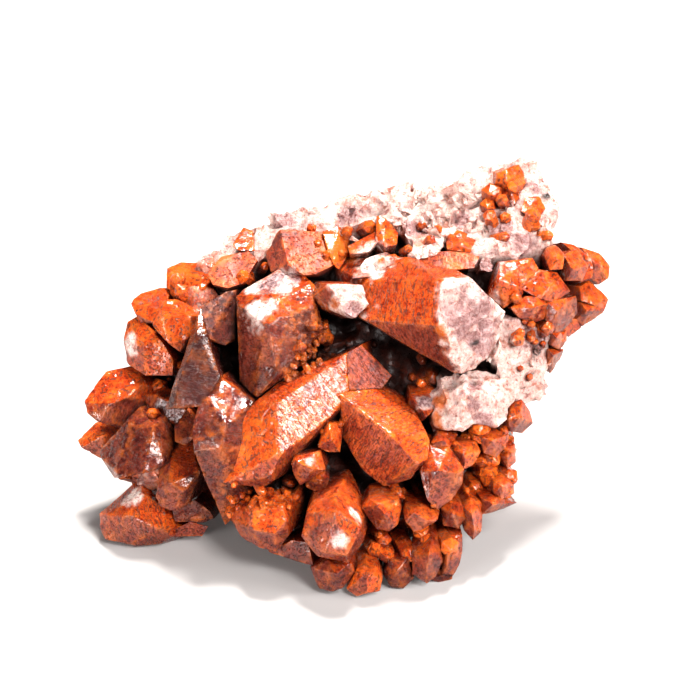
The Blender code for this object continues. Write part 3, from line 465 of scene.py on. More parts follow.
# Places that differ from the red: (middle as across, up, out), radius, in millimetres.
STAINS = {
    "white": (
        # Painted highlights: the white places on the pink dark crystal, the pale edged pyramid, the white
        # faced crystal and the bottom left prism stand for light caught by those faces. The rest are white
        # broken quartz.
        ((-20.5, 16, 10.5), 5), ((-16, 22, 4), 5), ((-21, 21, 3), 4), ((0, 17.5, 11), 5),
        ((5, 26, 3), 5.5), ((23, 13, 16), 4), ((23, 20, 15), 4), ((27, 4, 14), 5), ((33, 8, 10), 5),
        ((32, 15, 10), 5), ((28, 21, 12), 4), ((17, -5, 8.5), 3), ((-9, -17.5, 17), 1.6),
        ((31, 27, 6), 4), ((-49, 8, -10), 3), ((52.5, 26, -8), 2.5), ((1, -31, 20), 2.4),
        ((-2.5, -35.5, 22.5), 2.2), ((-49, -26, -3), 3),
    ),
    "mauve": (
        ((26.5, 14.5, 14.5), 7.5), ((29.5, 10, 12.5), 6), ((-18, 22, 4), 4), ((-10, 22, 4), 4),
        ((1, 16, 11), 3), ((28, -1.5, 11), 3), ((26.5, -5, 12), 3), ((30, -9, 11), 2.5),
        ((41.5, 9.5, 3), 4.5), ((31, 27, 6), 4.5), ((-14, 36, -12), 3.5), ((0, 37, -9), 4),
        ((14, 34, -4), 4), ((25, 36, -4), 3), ((34.5, 34, -2), 3.5), ((39, 31, 0), 4.5),
        # The mauve place on the pink dark crystal tints its painted highlight.
        ((17, -5, 8.5), 2.5), ((42, 44, -10), 3),
    ),
    "dark": (
        ((28.5, 8, 13), 1.8), ((42, 6.5, 2), 1.6), ((40.5, 2, 1), 1.4), ((44, 42, -9), 1.5),
        ((9, 35, -5), 1.6),
    ),
    "orange": (
        ((20.5, 11, 18), 2.2), ((22.5, 7, 17.5), 2.2), ((20, -4, 11), 2.6), ((19.5, -9, 11), 2.6),
        ((-4, 17, 11), 1.8), ((35, 43, -9), 3), ((47, 17, -3), 3), ((35, 18, 9), 2), ((24, 25, 6), 2),
        ((-30, 27, -10), 4), ((-38, 24, -14), 3.5), ((-3, 30, -2), 5), ((8, 33, -4), 3.5),
        ((16, 30, -1), 2.5),
    ),
    "brown": (
        ((-10.5, 13, 8), 6), ((-8, 7, 7), 6), ((-6.5, 18, 5), 4), ((-13, 2, 9), 3),
    ),
}

# Small crystals that grow over the rest: (middle as across, up), (half across, half up), how many,
# thicknesses, the way that they point, how far into a hollow they keep.
SPROUTS = (
    ((30, -19), (10, 11), 75, (1.6, 3.6), (0.35, -0.2, 0.9), 0.50),
    ((24, -9), (7, 4), 14, (1.5, 2.8), (0.2, -0.3, 0.9), 0.52),
    ((14, -38), (14, 9), 40, (1.5, 3.2), (0.1, -0.4, 0.9), 0.52),
    ((-4, -20), (14, 14), 26, (1.4, 2.8), (0, -0.3, 0.9), 0.56),
    ((-10, 8), (4.5, 8), 46, (1.3, 2.4), (0.5, -0.2, 0.8), 0.44),
    ((-46, -12), (12, 22), 34, (1.5, 3.2), (-0.2, 0.2, 0.9), 0.55),
    ((-32, 24), (14, 6), 26, (1.8, 3.6), (-0.2, 0.4, 0.8), 0.50),
    ((14, 4), (10, 5), 12, (1.5, 2.8), (0.1, -0.2, 0.9), 0.60),
    ((44, 8), (6, 14), 34, (1.5, 3.2), (0.4, 0, 0.9), 0.48),
    ((8, 30), (18, 5), 22, (1.8, 3.6), (0.1, 0.3, 0.9), 0.50),
    ((-8, 30), (12, 4), 14, (1.8, 3.4), (-0.1, 0.3, 0.9), 0.50),
    ((40, 38), (7, 9), 12, (2.0, 4.0), (0.3, 0.3, 0.8), 0.46),
    ((-20, -25.5), (7, 3), 26, (1.4, 2.8), (-0.1, -0.6, 0.8), 0.30),
    ((14, -25), (5, 3), 16, (1.4, 2.6), (0.1, -0.6, 0.8), 0.30),
    ((36, 40), (5, 6), 6, (3.0, 5.5), (0.1, 0.3, 0.9), 0.30),
    ((41, 13), (4, 6), 14, (1.5, 3.0), (0.4, 0.1, 0.8), 0.40),
    ((-42, 21), (6, 4), 12, (2.0, 4.0), (-0.3, 0.5, 0.7), 0.35),
)

# Broken bits on the white matrix, in the same way but without a way to point.
BITS = (
    ((4, 38), (34, 6), 44, (2.0, 5.5), 0.40),
    ((30, 40), (14, 8), 26, (2.5, 6.0), 0.40),
    ((-28, 30), (8, 4), 10, (2.0, 4.5), 0.40),
    ((28, -2), (9, 8), 16, (1.8, 4.0), 0.45),
    ((40, 5), (5, 9), 14, (1.8, 4.0), 0.45),
)

# Lumps that close what would be seen through: middle, half sizes, in the display plane's terms.
FILLERS = (
    ((-33.5, 16.6, -8), (5, 5, 5)),
    ((-44.5, -20.7, -6), (5, 5, 4)),
)

# The way (across, up, out) of a crystal's long axis, where it isn't the way from its root.
AXES = {
    "diagonal prism": (-27, -22.5, 7),
    "diagonal prism, inner end": (-27, -22.5, 7),
    "front prism": (17, -17, 8),
    "broken prism": (18, 0, 11),
    "white topped block": (0.1, 1, -0.3),
    "dark long prism": (-7, -22, 4),
    "streaked prism": (0.1, 1, 0.1),
    "upper long prism": (20, 2, 3),
    "striped block": (1, 0.6, 0),
    "bottom left prism": (-14, -5, -4),
}

# The meshes, in millimetres.
ROUGHLY = 1.0
FINE = 0.75 * ROUGHLY  # longest edge of the mesh where it shows
COARSE = 1.45 * ROUGHLY  # the same on the sides and the back
SMALL_FINE = 0.65 * ROUGHLY  # on small crystals
LONG_FINE = 0.64 * ROUGHLY  # on those in LONG
SPROUT_FINE = 0.58 * ROUGHLY ** 0.3  # on the smallest, which a coarser mesh would lose
BURIED = 0.6  # how much longer an edge may be for each millimetre that it lies inside the body
SKIN = 1.5  # how deep the fine mesh goes
PASSES = 9  # most times that the mesh is split
ALIKE = math.radians(13)  # hull faces that meet at less than this are one crystal face
FLAT = math.radians(0.5)  # flat faces that meet at less than this are joined
CREASE = math.radians(40)  # faces that meet at more than this look sharp
SAME_CORNER = 0.02
TINY = 1e-6
CUTTER = 0.4  # side of the cube that keeps the floor clear, in metres
BROKEN_TURN = 0.78  # cosine of the angle within which a face belongs to the broken end

# The small crystals, lumps and bits.
SIGHT = np.arange(26, -26, -0.5)  # where lines from the eye are tried, in millimetres
STRAY = 1.4  # how much more than the other small crystals the smallest stray
BIT_SHAPE = (0.6, 1.3)  # least and most length of a bit's sides, in its own size
PAINTED_LIGHT_BEYOND = 16  # the small crystals beyond this across are painted lighter, as lit from the right
LIGHTER, RIGHT_PAINTED_LIGHT = 1.2, 2  # how much the small crystals' tone is raised; the larger raise, on the right, is painted light
WHITE_ABOVE = 50  # lumps higher than this are white
LUMPS_PALE, FILLERS_PALE = 0.3, 0.15  # how white the others are, and the fillers

# What each point of a mesh tells the finish.
MARKS = ("rust", "grain_x", "grain_y", "grain_z", "prism", "edge", "tone", "pale", "dull")
PAINTED_LIGHT_WAY = np.array((0.28, 0.20, 0.94))  # the way of the light for the painted shade: faces turned from it are painted plum
EDGE_WIDTH = 0.5  # how far from an edge its mark fades, in millimetres
MARGIN = 14  # empty millimetres round the grid of the shade
DEEPEST = 8  # how deep under the surface depth is told apart, in millimetres

TILT_COS, TILT_SIN = math.cos(DISPLAY_TILT), math.sin(DISPLAY_TILT)
ACROSS = np.array((1, 0, 0))
UP = np.array((0, TILT_SIN, TILT_COS))
OUT = np.array((0, -TILT_COS, TILT_SIN))


def at_display(across, up, out):
    """A place in the display plane's terms, in millimetres in the part's own frame."""
    nearness = 1 - out / EYE
    across, up = across * nearness, up * nearness
    return at_floor(across, up * TILT_SIN - out * TILT_COS, LIFT + up * TILT_COS + out * TILT_SIN)


def at_floor(x, y, z):
    return np.array((x - CENTRE[0], y - CENTRE[1], z))


# Noise, worked out for many points at once.


def scrambled(cell, seed):
    """A number from -1 to 1 for each whole-numbered cell."""
    mixed = (cell[:, 0] * 73856093) ^ (cell[:, 1] * 19349663) ^ (cell[:, 2] * 83492791)
    mixed = mixed ^ (seed * 7919 + 101)
    mixed = mixed.astype(np.uint64)
    mixed = (mixed ^ (mixed >> np.uint64(15))) * np.uint64(2246822519)
    mixed = (mixed ^ (mixed >> np.uint64(13))) * np.uint64(3266489917)
    return ((mixed >> np.uint64(9)) & np.uint64(65535)).astype(np.float64) / 32767.5 - 1


def between_corners(cell, part, value_at):
    """The mean of the values at the eight corners of each cell, weighed by how near each corner is."""
    total = np.zeros(len(cell))
    for corner in range(8):
        step = np.array((corner & 1, corner >> 1 & 1, corner >> 2 & 1))
        share = np.prod(np.where(step, part, 1 - part), axis=1)
        total += share * value_at(cell + step)
    return total


def soft_noise(points, size, seed):
    """Smooth noise from -1 to 1, whose lumps are about size across."""
    place = points / size
    cell = np.floor(place).astype(np.int64)
    part = place - cell
    ease = part * part * part * (part * (part * 6 - 15) + 10)
    return between_corners(cell, ease, lambda corners: scrambled(corners, seed))


def ridged(points, size, seed):
    """Noise from -1 to 1 that is highest along sharp ridges, as on broken quartz."""
    return 1 - np.abs(soft_noise(points, size, seed)) * 2


# Flat-faced bodies.


def hull_of(corners, merged=None):
    """The convex hull of the corners; those nearer to each other than merged become one."""
    mesh = bmesh.new()
    for corner in corners:
        mesh.verts.new(corner)
    if merged:
        bmesh.ops.remove_doubles(mesh, verts=mesh.verts, dist=merged)
    hull = bmesh.ops.convex_hull(mesh, input=mesh.verts)
    bmesh.ops.delete(mesh, geom=list(set(hull["geom_interior"] + hull["geom_unused"])), context="VERTS")
    bmesh.ops.recalc_face_normals(mesh, faces=mesh.faces)
    return mesh


def faces_round(corners, alike=ALIKE):
    """The few flat faces of the body round the corners: outward normals and how far out each lies."""
    hull = hull_of(corners)
    triangles = np.array([[vert.co[:] for vert in face.verts] for face in hull.faces])
    hull.free()
    cross = np.cross(triangles[:, 1] - triangles[:, 0], triangles[:, 2] - triangles[:, 0])
    area = np.linalg.norm(cross, axis=1)
    groups = []
    for which in np.argsort(-area):
        if area[which] < TINY:
            continue
        normal = cross[which] / area[which]
        for group in groups:
            if normal @ group["sum"] > math.cos(alike) * np.linalg.norm(group["sum"]):
                break
        else:
            group = {"sum": np.zeros(3), "members": []}
            groups.append(group)
        group["sum"] = group["sum"] + cross[which]
        group["members"].append(which)
    normals, depths = [], []
    for group in groups:
        normal = group["sum"] / np.linalg.norm(group["sum"])
        members = triangles[group["members"]]
        weights = area[group["members"]]
        middle = (members.mean(axis=1) * weights[:, None]).sum(axis=0) / weights.sum()
        normals.append(normal)
        depths.append(normal @ middle)
    return np.array(normals), np.array(depths)


def corners_between(normals, depths):
    """The corners of the body that the flat faces enclose."""
    count = len(normals)
    first, second, third = np.array([
        (i, j, k) for i in range(count) for j in range(i + 1, count) for k in range(j + 1, count)
    ]).T
    systems = np.stack((normals[first], normals[second], normals[third]), axis=1)
    sides = np.stack((depths[first], depths[second], depths[third]), axis=1)
    sound = np.abs(np.linalg.det(systems)) > 1e-4
    points = np.linalg.solve(systems[sound], sides[sound][..., None])[..., 0]
    inside = (points @ normals.T - depths < 1e-5).all(axis=1)
    return points[inside]


def polygons_of(normals, depths):
    """The enclosed body as points and triangles that fan out from each face's middle."""
    mesh = hull_of(corners_between(normals, depths), SAME_CORNER)
    bmesh.ops.dissolve_limit(mesh, angle_limit=FLAT, verts=mesh.verts, edges=mesh.edges)
    bmesh.ops.poke(mesh, faces=mesh.faces)
    mesh.verts.index_update()
    points = np.array([vert.co[:] for vert in mesh.verts])
    triangles = np.array([[vert.index for vert in face.verts] for face in mesh.faces])
    mesh.free()
    return points, triangles


def finer(points, triangles, longest):
    """Splits each edge that is longer than its place allows, until none is."""
    for _ in range(PASSES):
        pairs = np.sort(triangles[:, ((0, 1), (1, 2), (2, 0))].reshape(-1, 2), axis=1)
        codes, which = np.unique(pairs[:, 0] * len(points) + pairs[:, 1], return_inverse=True)
        edges = np.stack(np.divmod(codes, len(points)), axis=1)
        which = which.reshape(-1, 3)
        ends = points[edges]
        middles = ends.mean(axis=1)
        split = np.linalg.norm(ends[:, 1] - ends[:, 0], axis=1) > longest(middles)
        if not split.any():
            break
        number = np.full(len(edges), -1)
        number[split] = len(points) + np.arange(split.sum())
        points = np.concatenate((points, middles[split]))
        half = number[which]
        cuts = (half >= 0).sum(axis=1)
        made = [triangles[cuts == 0]]
        for count in (1, 2, 3):
            rows, mid = triangles[cuts == count], half[cuts == count]
            if not len(rows):
                continue
            if count < 3:
                # Turned so that the first edge is cut and, of two, the other is the second.
                first = (mid[:, 0] >= 0) & ((mid[:, 2] < 0) if count == 2 else True)
                second = (mid[:, 1] >= 0) & ((mid[:, 0] < 0) if count == 2 else True)
                turn = np.where(first, 0, np.where(second, 1, 2))
                order = (np.arange(3) + turn[:, None]) % 3
                rows = np.take_along_axis(rows, order, axis=1)
                mid = np.take_along_axis(mid, order, axis=1)
            (a, b, c), (ab, bc, ca) = rows.T, mid.T
            if count == 1:
                made += [np.stack(t, axis=1) for t in ((a, ab, c), (ab, b, c))]
            elif count == 2:
                made += [np.stack(t, axis=1) for t in ((ab, b, bc), (a, ab, bc), (a, bc, c))]
            else:
                made += [np.stack(t, axis=1) for t in ((a, ab, ca), (ab, b, bc), (ca, bc, c), (ab, bc, ca))]
        triangles = np.concatenate(made)
    return points, triangles


class Growth:
    """One flat-faced body, before it is given its fine surface."""

    def __init__(self, name, corners, axis, broken=None, fine=FINE, alike=ALIKE):
        self.name = name
        self.corners = np.array(corners)
        self.pale = 0.0  # how white its broken faces are
        self.dull = 1.0 if name in DULL else 0.0
        self.axis = np.array(axis) / np.linalg.norm(axis)
        self.normals, self.depths = faces_round(corners, alike)
        self.broken = np.zeros(len(self.depths))  # 1 on the faces that are broken
        if broken is not None:
            self.broken = np.clip((self.normals @ broken / np.linalg.norm(broken) - BROKEN_TURN) * 20, 0, 1)
        self.fine = fine
        self.calm = 1.0  # how strong its small relief is
        self.tone = TONES.get(name, random.Random(name).uniform(-1, 1))


# Relief of the faces: its height and the size of its lumps, in millimetres.
GROWTH_LINES = (0.015, 5)
GROWTH_STEPS = (0.05, 16)
GRAIN = (0.03, 1.5)
HILLOCKS = (0.09, 3.4)
PITS = (0.25, 1.1)
WAVES = (0.07, 7)
BROKEN_RIDGES = (0.9, 6)
BROKEN_EDGES = (0.55, 2.4)
BROKEN_GRAIN = (0.25, 1.1)
BROKEN_LOWER = 0.8  # how much lower broken faces lie than their flat face
SQUEEZED = 5  # how much the lumps are flattened into lines across a crystal
SHARP, WORN, BROKEN_BLUNT = 0.05, 0.15, 0.2  # how blunt edges are, in millimetres


def relief(kind, points, seed, steps=None):
    """Noise of one kind of relief, in millimetres; steps, where given, is how steep its terraces are."""
    height, size = kind
    noise = soft_noise(points, size, seed)
    return height * (noise if steps is None else np.tanh(steps * noise))


def shape_of(growth, points, squeezed, prism, seed):
    """How far each place stands out from each flat face, and how blunt the edges are there."""
    lines = relief(GROWTH_LINES, squeezed, seed) + relief(GROWTH_STEPS, squeezed, seed + 1, steps=6)
    hillocks = relief(GRAIN, points, seed + 2) + relief(HILLOCKS, points, seed + 3, steps=3)
    hillocks -= PITS[0] * np.clip(soft_noise(points, PITS[1], seed + 4) * 3 - 1.4, 0, 1)
    waves = relief(WAVES, points, seed + 5)
    heights = lines[:, None] * prism + hillocks[:, None] * (1 - prism * 0.75) + waves[:, None]
    blunt = SHARP + WORN * np.clip(soft_noise(points, 2.5, seed + 6) * 2 - 0.7, 0, 1)
    heights = heights * growth.calm
    blunt = blunt * growth.calm
    if growth.broken.any():
        rough = BROKEN_RIDGES[0] * ridged(points, BROKEN_RIDGES[1], seed)
        rough = rough + BROKEN_EDGES[0] * ridged(points, BROKEN_EDGES[1], seed + 7)
        rough = rough - BROKEN_LOWER + relief(BROKEN_GRAIN, points, seed + 8)
        heights = heights + (rough[:, None] - heights) * growth.broken
        blunt = blunt + BROKEN_BLUNT * growth.broken.mean()
    return heights, blunt


def surface_of(growth, shade):
    """The body's fine mesh, with what its finish needs at each point."""
    points, triangles = polygons_of(growth.normals, growth.depths)

    def longest(middles):
        return growth.fine + BURIED * np.maximum(shade.depth_at(middles) - SKIN, 0)

    points, triangles = finer(points, triangles, longest)
    along = points @ growth.axis
    squeezed = points + growth.axis * (along * SQUEEZED)[:, None]
    # 1 on the faces that run along the crystal, 0 on those of its point:
    prism = np.clip(1.6 - np.abs(growth.normals @ growth.axis) * 3, 0, 1)
    heights, blunt = shape_of(growth, points, squeezed, prism, int(abs(growth.tone) * 1000))
    for _ in range(2):
        # Each point moves to where the faces, blended over the blunt edges, enclose it.
        beyond = points @ growth.normals.T - growth.depths - heights
        top = beyond.max(axis=1)
        share = np.exp((beyond - top[:, None]) / blunt[:, None])
        total = share.sum(axis=1)
        out = top + blunt * np.log(total)
        share /= total[:, None]
        way = share @ growth.normals
        points = points - way * (out / (way * way).sum(axis=1))[:, None]
    near = np.sort(points @ growth.normals.T - growth.depths - heights, axis=1)
    marks = {
        "whole": np.ones(len(points)),
        # How much each face looks toward the light, which sets the painted plum shade.
        "rust": way @ PAINTED_LIGHT_WAY,
        "grain_x": squeezed[:, 0],
        "grain_y": squeezed[:, 1],
        "grain_z": squeezed[:, 2],
        "prism": share @ prism,
        "edge": np.exp((near[:, -2] - near[:, -1]) / EDGE_WIDTH),
        "tone": np.full(len(points), growth.tone),
        "pale": share @ growth.broken * growth.pale,
        "dull": np.full(len(points), growth.dull),
    }
    return points, triangles, marks


def in_scene(name, data):
    thing = bpy.data.objects.new(name, data)
    bpy.context.scene.collection.objects.link(thing)
    return thing


def write_mark(mesh, label, values):
    mesh.attributes.new(label, "FLOAT", "POINT").data.foreach_set("value", values.astype(np.float32))


def mesh_from(name, points, triangles, marks):
    mesh = bpy.data.meshes.new(name)
    mesh.vertices.add(len(points))
    mesh.vertices.foreach_set("co", (points * MM).astype(np.float32).ravel())
    mesh.loops.add(triangles.size)
    mesh.loops.foreach_set("vertex_index", triangles.astype(np.int32).ravel())
    mesh.polygons.add(len(triangles))
    mesh.polygons.foreach_set("loop_start", np.arange(0, triangles.size, 3, dtype=np.int32))
    mesh.update(calc_edges=True)
    for label, values in marks.items():
        write_mark(mesh, label, values)
    return mesh


def united(name, growths, shade, below):
    """Joins the growths into one closed mesh."""
    pieces = bpy.data.collections.new(name + " pieces")
    bpy.context.scene.collection.children.link(pieces)
    made = []
    for growth in growths:
        mesh = mesh_from(growth.name, *surface_of(growth, shade))
        made.append(bpy.data.objects.new(growth.name, mesh))
    first = made[0]
    bpy.context.scene.collection.objects.link(first)
    for other in made[1:]:
        pieces.objects.link(other)
    union = first.modifiers.new("grown together", "BOOLEAN")
    union.operation = "UNION"
    union.operand_type = "COLLECTION"
    union.collection = pieces
    union.solver = "MANIFOLD"
    cut = first.modifiers.new("stands flat", "BOOLEAN")
    cut.operation = "DIFFERENCE"
    cut.object = below
    cut.solver = "MANIFOLD"
    evaluated = first.evaluated_get(bpy.context.evaluated_depsgraph_get())
    mesh = bpy.data.meshes.new_from_object(evaluated)
    for old in made:
        old_mesh = old.data
        bpy.data.objects.remove(old)
        bpy.data.meshes.remove(old_mesh)
    bpy.data.collections.remove(pieces)
    mesh.name = name
    return in_scene(name, mesh)


def box_below_floor():
    """A cutter that takes off what would reach below the floor."""
    data = bpy.data.meshes.new("below floor")
    mesh = bmesh.new()
    bmesh.ops.create_cube(mesh, size=CUTTER)
    bmesh.ops.translate(mesh, verts=mesh.verts, vec=(0, 0, -CUTTER / 2))
    mesh.to_mesh(data)
    mesh.free()
    return in_scene("below floor", data)


def values_of(data, label, width=1):
    values = np.zeros(len(data) * width, np.float32)
    data.foreach_get(label, values)
    return values.reshape(-1, width) if width > 1 else values


def mend_marks(mesh):
    """Gives the points that the joining made the mean of the marks beside them."""
    ends = np.zeros(len(mesh.edges) * 2, np.int32)
    mesh.edges.foreach_get("vertices", ends)
    ends = ends.reshape(-1, 2)
    whole = values_of(mesh.attributes["whole"].data, "value")
    for _ in range(3):
        sound = whole > 0.5
        weight = np.zeros(len(whole))
        for one, other in ((0, 1), (1, 0)):
            weight += np.bincount(ends[:, one], sound[ends[:, other]], len(whole))
        new = ~sound & (weight > 0)
        for label in MARKS:
            values = values_of(mesh.attributes[label].data, "value")
            sound_values = values * sound
            total = np.zeros(len(values))
            for one, other in ((0, 1), (1, 0)):
                total += np.bincount(ends[:, one], sound_values[ends[:, other]], len(whole))
            values[new] = total[new] / weight[new]
            mesh.attributes[label].data.foreach_set("value", values)
        whole[new] = 1


def to_display(points):
    """The display plane's terms for places in the part's own frame, the other way round from at_display."""
    x, y, z = points[:, 0] + CENTRE[0], points[:, 1] + CENTRE[1], points[:, 2] - LIFT
    out = z * TILT_SIN - y * TILT_COS
    nearness = 1 - out / EYE
    return np.stack((x / nearness, (y * TILT_SIN + z * TILT_COS) / nearness, out), axis=1)


def stain(mesh):
    """Marks the places that are white, mauve, dark or orange."""
    points = values_of(mesh.vertices, "co", 3).astype(np.float64) / MM
    places = to_display(points)
    ragged = 0.35 * soft_noise(points, 2.6, 5) + 0.25 * soft_noise(points, 0.9, 6)
    for kind, rows in STAINS.items():
        amount = np.zeros(len(points))
        for middle, radius in rows:
            away = np.linalg.norm(places - np.array(middle), axis=1) / radius
            amount = np.maximum(amount, np.clip((1 - away + ragged) * 2.2, 0, 1))
        write_mark(mesh, kind, amount)


def rooted(corners, root):
    """The corners that show and the same corners at the root, in the part's own frame."""
    behind = [[c + r for c, r in zip(corner, root)] for corner in corners]
    return [at_display(*corner) for corner in (*corners, *behind)]


def crystal_growths():
    """Each large crystal with the mean of its corners in the display plane's terms."""
    made = []
    for name, (root, corners) in CRYSTALS.items():
        axis = in_frame(AXES.get(name, tuple(-part for part in root)))
        broken = in_frame(BROKEN_ENDS[name]) if name in BROKEN_ENDS else None
        growth = Growth(name, rooted(corners, root), axis, broken, LONG_FINE if name in LONG else FINE)
        growth.pale = 1
        made.append((np.mean(corners, axis=0), growth))
    return made


def in_frame(way):
    return ACROSS * way[0] + UP * way[1] + OUT * way[2]


def matrix_growths():
    made = []
    for name, (root, corners) in BROKEN_MATRIX.items():
        growth = Growth(name, rooted(corners, root), OUT)
        growth.broken[:] = 1
        growth.pale = 1
        made.append(growth)
    return made


def small_crystal(name, foot, tip, thickness, turn, fine=SMALL_FINE):
    """A six-sided prism with a six-faced point, whose long axis runs from foot to tip."""
    axis = (tip - foot) / np.linalg.norm(tip - foot)
    across = np.array(Vector(axis).orthogonal().normalized())
    side = np.cross(axis, across)
    point = thickness / 2 / math.tan(math.pi / 2 - POINT_SLOPE + BLUNTER)
    shoulder = tip - axis * point
    corners = [tip]
    for k in range(6):
        angle = turn + k * math.pi / 3
        radial = (across * math.cos(angle) + side * math.sin(angle)) * thickness / 2
        corners += [foot + radial, shoulder + radial]
    growth = Growth(name, corners, axis, fine=fine)
    growth.calm = min(1.0, thickness / 7)
    return growth


def crowd(chance, place, label, fine, middle, halves, count, thicknesses, points_to):
    """One patch of small crystals; place turns its measures into the part's own frame."""
    made = []
    for which in range(count):
        foot = [m + half * chance.uniform(-1, 1) for m, half in zip(middle, halves)]
        thickness = chance.uniform(*thicknesses)
        lean = [p + chance.uniform(-LEAN, LEAN) for p in points_to]
        size = math.sqrt(sum(part * part for part in lean))
        lean = [part / size * thickness for part in lean]
        length = chance.uniform(*LENGTHS)
        tip = [f + part * length for f, part in zip(foot, lean)]
        root = [f - part * ROOTED for f, part in zip(foot, lean)]
        turn = chance.uniform(0, math.pi / 3)
        made.append(small_crystal(f"{label}.{which}", place(*root), place(*tip), thickness, turn, fine))
    return made


def small_crystals():
    """The crystals that crowd between the large ones, and those on the hidden sides."""
    chance = random.Random(SEED)
    front, side = [], []
    for number, (middle, halves, *rest) in enumerate(PATCHES):
        front += crowd(chance, at_display, f"front {number}", SMALL_FINE, middle, (*halves, 0), *rest)
    for number, patch in enumerate(SIDE_PATCHES):
        side += crowd(chance, at_floor, f"side {number}", COARSE, *patch)
    for growth in front:
        # Painted light: the small crystals on the right are lighter, as if lit from the right.
        growth.tone += RIGHT_PAINTED_LIGHT if growth.corners[:, 0].mean() > PAINTED_LIGHT_BEYOND else LIGHTER
    return front, side


def lumps():
    """The rough back and underside: white along the top, and rusty below."""
    chance = random.Random(SEED)
    return [lump_growth(chance, f"lump {number}", at_floor, middle, halves,
                        1 if middle[2] > WHITE_ABOVE else LUMPS_PALE, COARSE)
            for number, (middle, halves) in enumerate(LUMPS)]


class Shade:
    """How much of the space round a place is filled, worked out on a grid of small cubes."""

    def __init__(self, growths):
        every = np.concatenate([g.corners for g in growths])
        self.low = np.floor(every.min(axis=0)) - MARGIN
        self.count = np.ceil(every.max(axis=0) + MARGIN - self.low).astype(int)
        filled = np.zeros(self.count)
        for growth in growths:
            first = np.maximum(np.floor(growth.corners.min(axis=0) - self.low).astype(int), 0)
            last = np.ceil(growth.corners.max(axis=0) - self.low).astype(int) + 1
            axes = [np.arange(a, b) for a, b in zip(first, last)]
            cells = np.stack(np.meshgrid(*axes, indexing="ij"), axis=-1)
            inside = ((cells + 0.5 + self.low) @ growth.normals.T < growth.depths).all(axis=-1)
            filled[tuple(slice(a, b) for a, b in zip(first, last))] += inside
        filled = np.minimum(filled, 1)
        self.depth = np.zeros(self.count)
        left = filled
        for _ in range(DEEPEST):
            self.depth += left
            smaller = left.copy()
            for axis in range(3):
                for way in (1, -1):
                    smaller = np.minimum(smaller, np.roll(left, way, axis))
            left = smaller
        self.grids = {"crevice": self.spread(filled, 2), "hollow": self.spread(filled, 6)}

    def spread(self, filled, reach):
        """The share that is filled of the cube round each place, softened by doing it twice."""
        for _ in range(2):
            for axis in range(3):
                padded = np.pad(filled, [(reach + 1, reach) if a == axis else (0, 0) for a in range(3)])
                total = np.cumsum(padded, axis=axis)
                wide = 2 * reach + 1
                start = np.arange(filled.shape[axis])
                filled = (total.take(start + wide, axis=axis) - total.take(start, axis=axis)) / wide
        return filled

    def depth_at(self, points):
        """About how many millimetres of quartz are over each place."""
        cell = np.clip((points - self.low).astype(int), 0, self.count - 1)
        return self.depth[tuple(cell.T)]

    def first_met(self, across, up):
        """How far out a line from the eye first meets the quartz, and how hollow it is there."""
        line = np.array([at_display(across, up, out) for out in SIGHT])
        met = np.flatnonzero(self.depth_at(line) > 0)
        if not len(met):
            return None, 0
        cell = tuple((line[met[0]] - self.low).astype(int))
        return SIGHT[met[0]], self.grids["hollow"][cell]

    def mark(self, mesh):
        """Gives each point of the mesh its share of filled space nearby and farther round."""
        places = values_of(mesh.vertices, "co", 3).astype(np.float64) / MM - self.low - 0.5
        places = np.clip(places, 0, self.count - 1.001)
        cell = places.astype(int)
        for label, grid in self.grids.items():
            write_mark(mesh, label, between_corners(cell, places - cell, lambda at: grid[tuple(at.T)]))


def sprouts(shade):
    """The small crystals that stand where a line from the eye meets a hollow."""
    chance = random.Random(SEED)
    made = []
    for number, (middle, halves, count, thicknesses, points_to, hollow) in enumerate(SPROUTS):
        for which in range(count):
            across, up = (m + half * chance.uniform(-1, 1) for m, half in zip(middle, halves))
            thickness = thicknesses[0] + (thicknesses[1] - thicknesses[0]) * chance.random() ** 2
            lean = np.array([p + chance.uniform(-LEAN, LEAN) * STRAY for p in points_to])
            lean *= thickness / np.linalg.norm(lean)
            length, turn = chance.uniform(*LENGTHS), chance.uniform(0, math.pi / 3)
            out, hollowness = shade.first_met(across, up)
            if out is None or hollowness < hollow:
                continue
            place = np.array((across, up, out))
            foot, tip = at_display(*(place - lean)), at_display(*(place + lean * length))
            made.append(small_crystal(f"sprout {number}.{which}", foot, tip, thickness, turn, SPROUT_FINE))
    for growth in made:
        growth.tone += LIGHTER
    return made


def lump_growth(chance, name, place, middle, halves, pale, fine):
    """A broken lump: the convex body round points scattered over an ellipsoid."""
    corners = []
    for _ in range(LUMP_CORNERS):
        away = Vector([chance.gauss(0, 1) for _ in range(3)]).normalized() * chance.uniform(*LUMP_SPREAD)
        corners.append(place(*(m + half * part for m, half, part in zip(middle, halves, away))))
    growth = Growth(name, corners, (0, 0, 1), fine=fine)
    growth.broken[:] = 1
    growth.pale = pale
    return growth


def bits(shade):
    """Broken bits on the white matrix, and the fillers."""
    chance = random.Random(SEED)
    made = []
    for number, (middle, halves, count, sizes, hollow) in enumerate(BITS):
        for which in range(count):
            across, up = (m + half * chance.uniform(-1, 1) for m, half in zip(middle, halves))
            size = sizes[0] + (sizes[1] - sizes[0]) * chance.random() ** 2
            shape = [size / 2 * chance.uniform(*BIT_SHAPE) for _ in range(3)]
            out, hollowness = shade.first_met(across, up)
            if out is not None and hollowness >= hollow:
                made.append(lump_growth(chance, f"bit {number}.{which}", at_display, (across, up, out),
                                        shape, 1, SMALL_FINE))
    made += [lump_growth(chance, f"filler {number}", at_display, *row, FILLERS_PALE, COARSE)
             for number, row in enumerate(FILLERS)]
    return made


